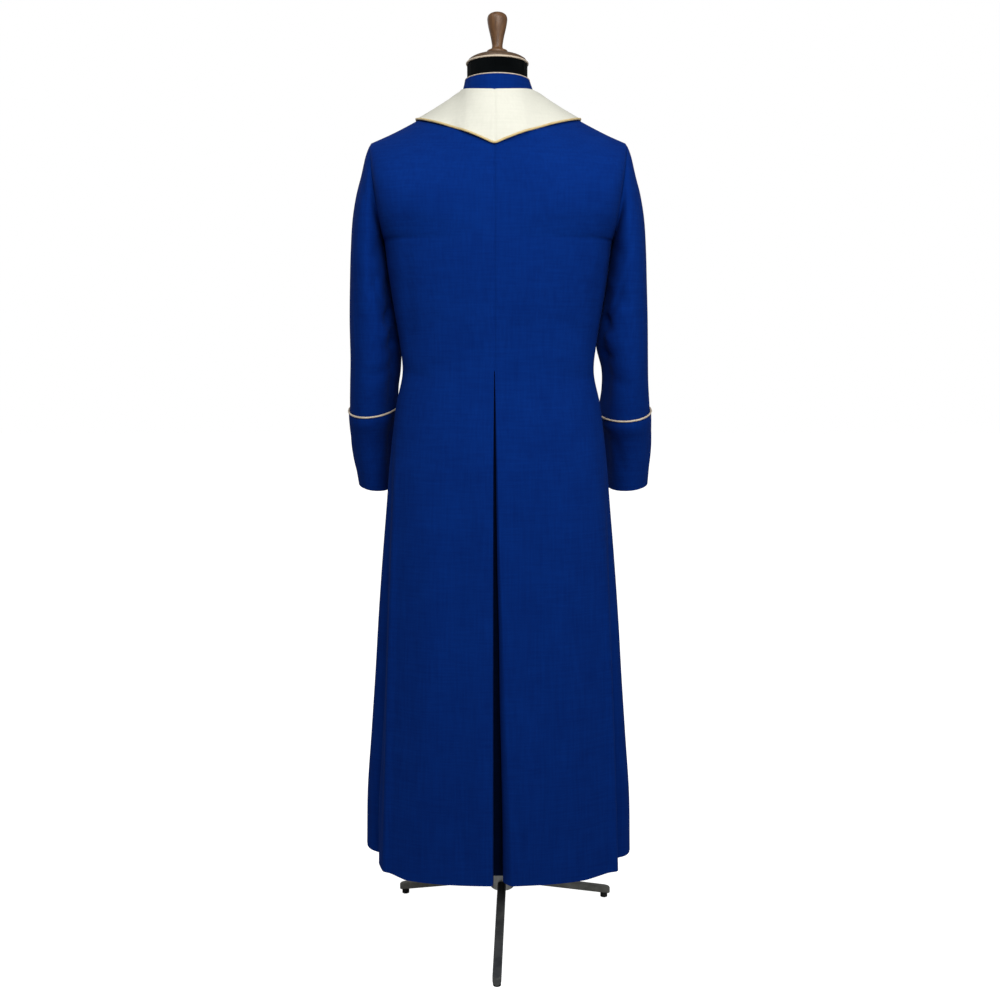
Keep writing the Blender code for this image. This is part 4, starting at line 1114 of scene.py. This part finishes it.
def cape_collar():
    """The whole collar, the coat under it and its normals, from the left front end round to the right one."""
    halves = {}
    for side in SIDES.values():
        front, back = cape_part("front", side), cape_part("back", side)
        halves[side] = np.concatenate((front[:, :, :-1], back[:, :, ::-1]), axis=2)
    return np.concatenate((halves[-1], halves[1][:, :, ::-1][:, :, 1:]), axis=2)


lifted = cape_collar()
print("the collar's grid has", lifted[0].shape[:2], "points")

# %% Settle the cape collar
CAPE_ROUNDS, EDGE_ROUNDS = 220, 44      # rounds of smoothing for the cloth and for its edge
CAPE_RATE, EDGE_RATE, POINT_RATE = 0.6, 0.5, 0.12       # the point at the back gives way least, to stay sharp
CAPE_LEAST = 0.0030                     # the least room under the cloth


def settle(grid, coat, normals):
    """Smooth the collar and its edge as a stiff cloth would lie, and keep it clear of the coat under it."""
    middle = grid.shape[1] // 2
    weight = np.sin(np.linspace(0, math.pi, len(grid)))[1:-1, None, None] ** 0.5
    edge = np.clip((np.abs(np.arange(grid.shape[1]) - middle)[1:-1, None] - 2) / 4, POINT_RATE, 1)
    for step in range(CAPE_ROUNDS):
        inside = grid[1:-1, 1:-1]
        around = (grid[:-2, 1:-1] + grid[2:, 1:-1] + grid[1:-1, :-2] + grid[1:-1, 2:]) / 4
        inside += (around - inside) * CAPE_RATE * weight
        if step < EDGE_ROUNDS:
            rim = grid[-1, 1:-1]
            rim += ((grid[-1, :-2] + grid[-1, 2:]) / 2 - rim) * EDGE_RATE * edge
        for column in (0, -1):
            front = grid[1:-1, column]
            front += ((grid[:-2, column] + grid[2:, column]) / 2 - front) * EDGE_RATE
        above = ((grid - coat) * normals).sum(axis=-1)
        grid += np.maximum(0, THICKNESS + CAPE_LEAST - above)[..., None] * normals
    return grid


grid = settle(*lifted)
middle_column = grid.shape[1] // 2
print("lowest point of the collar at the back: %.3f m" % grid[-1, middle_column, 2])

# %% [markdown]
# A faint seam runs down the middle of the collar's back, so the same small dip as on the coat goes in
# there. The gold cord follows the collar's whole outer edge and turns a soft corner at the point.

# %% Cape collar and its piping
CAPE_PIPING, CAPE_RAISE = 0.0021, -0.0004   # radius of the cord, and how it lies across the cloth's edge
CAPE_SEAM_REACH = 0.0018
normals = grid_normals(grid, False)
if normals[-1, middle_column, 1] > 0:
    normals = -normals
aside = np.linalg.norm(grid - grid[:, middle_column:middle_column + 1], axis=-1)
seamed = grid - normals * (SEAM_DIP * np.exp(-(aside / CAPE_SEAM_REACH) ** 2))[..., None]
piece = shell("cloth_cape_collar", seamed, lambda point: np.array((point[0], point[1], 0.05)))
declare(piece, "cape_collar", cut_of(grid), IVORY_WOOL)


def rim_line(grid, normals, offset, raise_by):
    """A line just outside the rim of a grid: down its first edge, along its last row and up its last edge."""
    rim = np.concatenate((grid[:-1, 0], grid[-1], grid[-2::-1, -1]))
    up = np.concatenate((normals[:-1, 0], normals[-1], normals[-2::-1, -1]))
    way = np.gradient(rim, axis=0)
    way /= np.linalg.norm(way, axis=-1, keepdims=True)
    outward = np.cross(way, up)
    for _ in range(3):
        outward[1:-1] = (outward[:-2] + 2 * outward[1:-1] + outward[2:]) / 4
    outward /= np.linalg.norm(outward, axis=-1, keepdims=True)
    return rim + outward * offset + up * raise_by


line = rim_line(grid, normals, CAPE_PIPING, CAPE_RAISE)
trim(cord("cord_cape_collar", line, CAPE_PIPING, GOLD_SATIN), "cape_collar_piping")

# %% [markdown]
# ## Tack at the top of the pleat
# A tailor fixes the top of an open pleat with a short row of slanted stitches, so that it doesn't tear.

# %% Stitches of the tack
TACK = {"from": (-0.0185, 1.101), "to": (-0.0075, 1.094), "count": 7, "radius": 0.0005}
STITCH_START, STITCH_END = (-0.0008, 0.0002, 0.0005), (0.0008, 0.0002, -0.0005)


def tack():
    """Short thread stitches on the outer side of the back, just above the pleat."""
    stitches = []
    for step in range(TACK["count"]):
        x, z = mix(np.array(TACK["from"]), np.array(TACK["to"]), step / (TACK["count"] - 1))
        middle = np.array((x, -float(measure(BACK, z)) - TACK["radius"], z))
        stitches.append(np.array((middle + STITCH_START, middle, middle + STITCH_END)))
    return stitches


for number, line in enumerate(tack()):
    stitch = cord(f"stitch_{number}", line, TACK["radius"], BLUE_WOOL)
    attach(stitch, "root")
print("tack:", TACK["count"], "stitches")

# %% [markdown]
# ## Turned cap and knob
# The form's neck ends in a wooden cap with a turned knob. Wood turned on a lathe is a profile spun round an
# axis, so both are made that way, with many more steps than the solids under them.

# %% Lathe the cap and the knob
NECK_RADIUS, NECK_Y, NECK_TOP = (0.0558, 0.0650), 0.003, 1.6655
CAP_INSET = 0.0015
CAP_PROFILE = (
    (NECK_TOP + 0.0003, 0.97), (1.6672, 1.0), (1.6712, 1.0), (1.6735, 0.985), (1.6752, 0.95), (1.6790, 0.82),
    (1.6830, 0.60), (1.6862, 0.33), (1.6864, 0.05))
KNOB_PROFILE = (
    (1.6866, 0.0180), (1.6878, 0.0189), (1.6905, 0.0190), (1.6918, 0.0182), (1.6930, 0.0155),
    (1.6945, 0.0120), (1.6985, 0.0098), (1.7080, 0.0108), (1.7200, 0.0133), (1.7320, 0.0162),
    (1.7420, 0.0180), (1.7490, 0.0183), (1.7545, 0.0160), (1.7582, 0.0105), (1.7598, 0.0040))
SPIN = 72
BRAID, BRAID_GAP, BRAID_Z = 0.0017, 0.0003, 1.668


def neck_oval(wide, deep, steps, height):
    """Points round the form's neck."""
    turn = 2 * math.pi * np.arange(steps) / steps
    return points(FORM_X + wide * np.cos(turn), NECK_Y + deep * np.sin(turn), height)


def lathe(name, profile, size, finish):
    """Spin a profile of (height, share of size) round the form's neck, smoothed between its measures."""
    profile = np.array(profile)
    fine = smooth_tube(profile[:, None, :], 4)[:, 0]
    rings = neck_oval(fine[:, 1:] * size[0], fine[:, 1:] * size[1], SPIN, fine[:, :1])
    count = len(fine)
    quads = cells(np.ones((count, SPIN), bool), True)[:, ::-1].tolist()
    caps = [list(range(SPIN))[::-1], list(range((count - 1) * SPIN, count * SPIN))]
    mesh = bpy.data.meshes.new(name)
    mesh.from_pydata((rings.reshape(-1, 3) + AXIS).tolist(), [], quads + caps)
    mesh.shade_smooth()
    mesh.set_sharp_from_angle(angle=math.radians(45))
    mesh.materials.append(finish)
    piece = bpy.data.objects.new(name, mesh)
    collection.objects.link(piece)
    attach(piece, "root")
    print("%-18s %d faces" % (name, len(mesh.polygons)))
    return piece


cap_size = np.array(NECK_RADIUS) - CAP_INSET
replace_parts(lathe("wood_cap", CAP_PROFILE, cap_size, CAP_WOOD), "form_cap")
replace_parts(lathe("wood_knob", KNOB_PROFILE, (1.0, 1.0), KNOB_WOOD), "form_knob")
line = neck_oval(*(cap_size + BRAID + BRAID_GAP), ROUND, BRAID_Z)
trim(cord("cord_braid", line, BRAID, CHAMPAGNE_SATIN, closed=True), "form_braid")

# %% [markdown]
# ## Finishes of the hard pieces
# The form, the pole, the hub, the legs and the feet have their true shape in the frame already. They stay
# as they are and only get their finish.

# %% Dress the frame's own pieces
NODE_FINISH = {
    "form_body": VELVET, "stand_pole": POLE_METAL, "stand_hub": POLE_METAL,
    "leg_near": NEAR_LEG_SHADED_METAL, "leg_right": SIDE_LEG_LIT_METAL, "leg_left": SIDE_LEG_LIT_METAL,
    "foot_pad_near": RUBBER, "foot_pad_right": RUBBER, "foot_pad_left": RUBBER}
for node, finish in NODE_FINISH.items():
    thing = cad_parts[node]
    thing.data.materials.clear()
    thing.data.materials.append(finish)
print("dressed", len(NODE_FINISH), "hard pieces")

# %% [markdown]
# ## Studio
# The cassock stands on a plain pale floor before a white surround. A high lamp lights the back from above,
# so the shoulders and the collar are brightest, and a key lamp beside the camera reaches down to the hem.
# Two weaker lamps give the sides and the front some light, and the surround fills the shadows.

# %% Floor and surround
FLOOR_HALF, FLOOR_GLOW, SURROUND_LIGHT = 14.0, 1.0, 0.24


def floor():
    """A wide pale floor that looks white and throws little light back up."""
    mesh = bpy.data.meshes.new("floor")
    corners = [(FLOOR_HALF * x, FLOOR_HALF * y, 0) for x, y in ((-1, -1), (1, -1), (1, 1), (-1, 1))]
    mesh.from_pydata(corners, [], [(0, 1, 2, 3)])
    board = bpy.data.objects.new("floor", mesh)
    bpy.context.scene.collection.objects.link(board)
    paint = bpy.data.materials.new("pale floor")
    paint.use_nodes = True
    shader = paint.node_tree.nodes["Principled BSDF"]
    shader.inputs["Base Color"].default_value = (0.6, 0.6, 0.6, 1.0)
    shader.inputs["Roughness"].default_value = 0.9
    shader.inputs["Emission Color"].default_value = (1.0, 1.0, 1.0, 1.0)
    path = paint.node_tree.nodes.new("ShaderNodeLightPath")
    glow = paint.node_tree.nodes.new("ShaderNodeMath")
    glow.operation = "MULTIPLY"
    glow.inputs[1].default_value = FLOOR_GLOW
    paint.node_tree.links.new(path.outputs["Is Camera Ray"], glow.inputs[0])
    paint.node_tree.links.new(glow.outputs[0], shader.inputs["Emission Strength"])
    mesh.materials.append(paint)


def surround():
    """White to look at, and dimmer as a light."""
    world = bpy.data.worlds.new("studio")
    bpy.context.scene.world = world
    world.use_nodes = True
    tree = world.node_tree
    lamp, shown = tree.nodes["Background"], tree.nodes.new("ShaderNodeBackground")
    lamp.inputs["Strength"].default_value = SURROUND_LIGHT
    shown.inputs["Strength"].default_value = 1.0
    lamp.inputs["Color"].default_value = shown.inputs["Color"].default_value = (1.0, 1.0, 1.0, 1.0)
    path, both = tree.nodes.new("ShaderNodeLightPath"), tree.nodes.new("ShaderNodeMixShader")
    tree.links.new(path.outputs["Is Camera Ray"], both.inputs[0])
    tree.links.new(lamp.outputs[0], both.inputs[1])
    tree.links.new(shown.outputs[0], both.inputs[2])
    tree.links.new(both.outputs[0], tree.nodes["World Output"].inputs["Surface"])


floor()
surround()
print("floor and surround are in place")

# %% Lamps and camera
LAMPS = (       # name, place, aim, size, watts
    ("high lamp", (-0.55, -1.20, 2.80), (0.0, 0.0, 1.3), 1.2, 14.0),
    ("key lamp", (0.36, -1.50, 1.95), (0.0, 0.0, 1.2), 1.1, 21.5),
    ("side lamp", (2.4, -1.6, 1.7), (0.0, 0.0, 1.1), 1.5, 9.0),
    ("far lamp", (-1.8, 1.9, 2.4), (0.0, 0.0, 1.1), 1.5, 8.0))


def aimed(thing, place, target):
    """Stand a lamp at a place and turn it to its target."""
    thing.location = place
    thing.rotation_euler = (Vector(target) - Vector(place)).to_track_quat("-Z", "Y").to_euler()
    bpy.context.scene.collection.objects.link(thing)


for name, place, target, size, watts in LAMPS:
    lamp = bpy.data.lights.new(name, "AREA")
    lamp.shape, lamp.size, lamp.energy = "DISK", size, watts
    aimed(bpy.data.objects.new(name, lamp), place, target)

CAMERA_AT, CAMERA_DROP, CAMERA_LENS = (-0.001, -2.238, 1.144), 7.2, 42.66
camera = bpy.data.cameras.new("camera")
camera.lens, camera.sensor_width, camera.sensor_fit = CAMERA_LENS, 36.0, "HORIZONTAL"
camera_object = bpy.data.objects.new("camera", camera)
camera_object.location = CAMERA_AT
camera_object.rotation_euler = (math.radians(90 - CAMERA_DROP), 0, 0)
bpy.context.scene.collection.objects.link(camera_object)
bpy.context.scene.camera = camera_object
bpy.context.scene.view_settings.view_transform = "Standard"
print("camera at", CAMERA_AT, "lens", CAMERA_LENS, "mm")
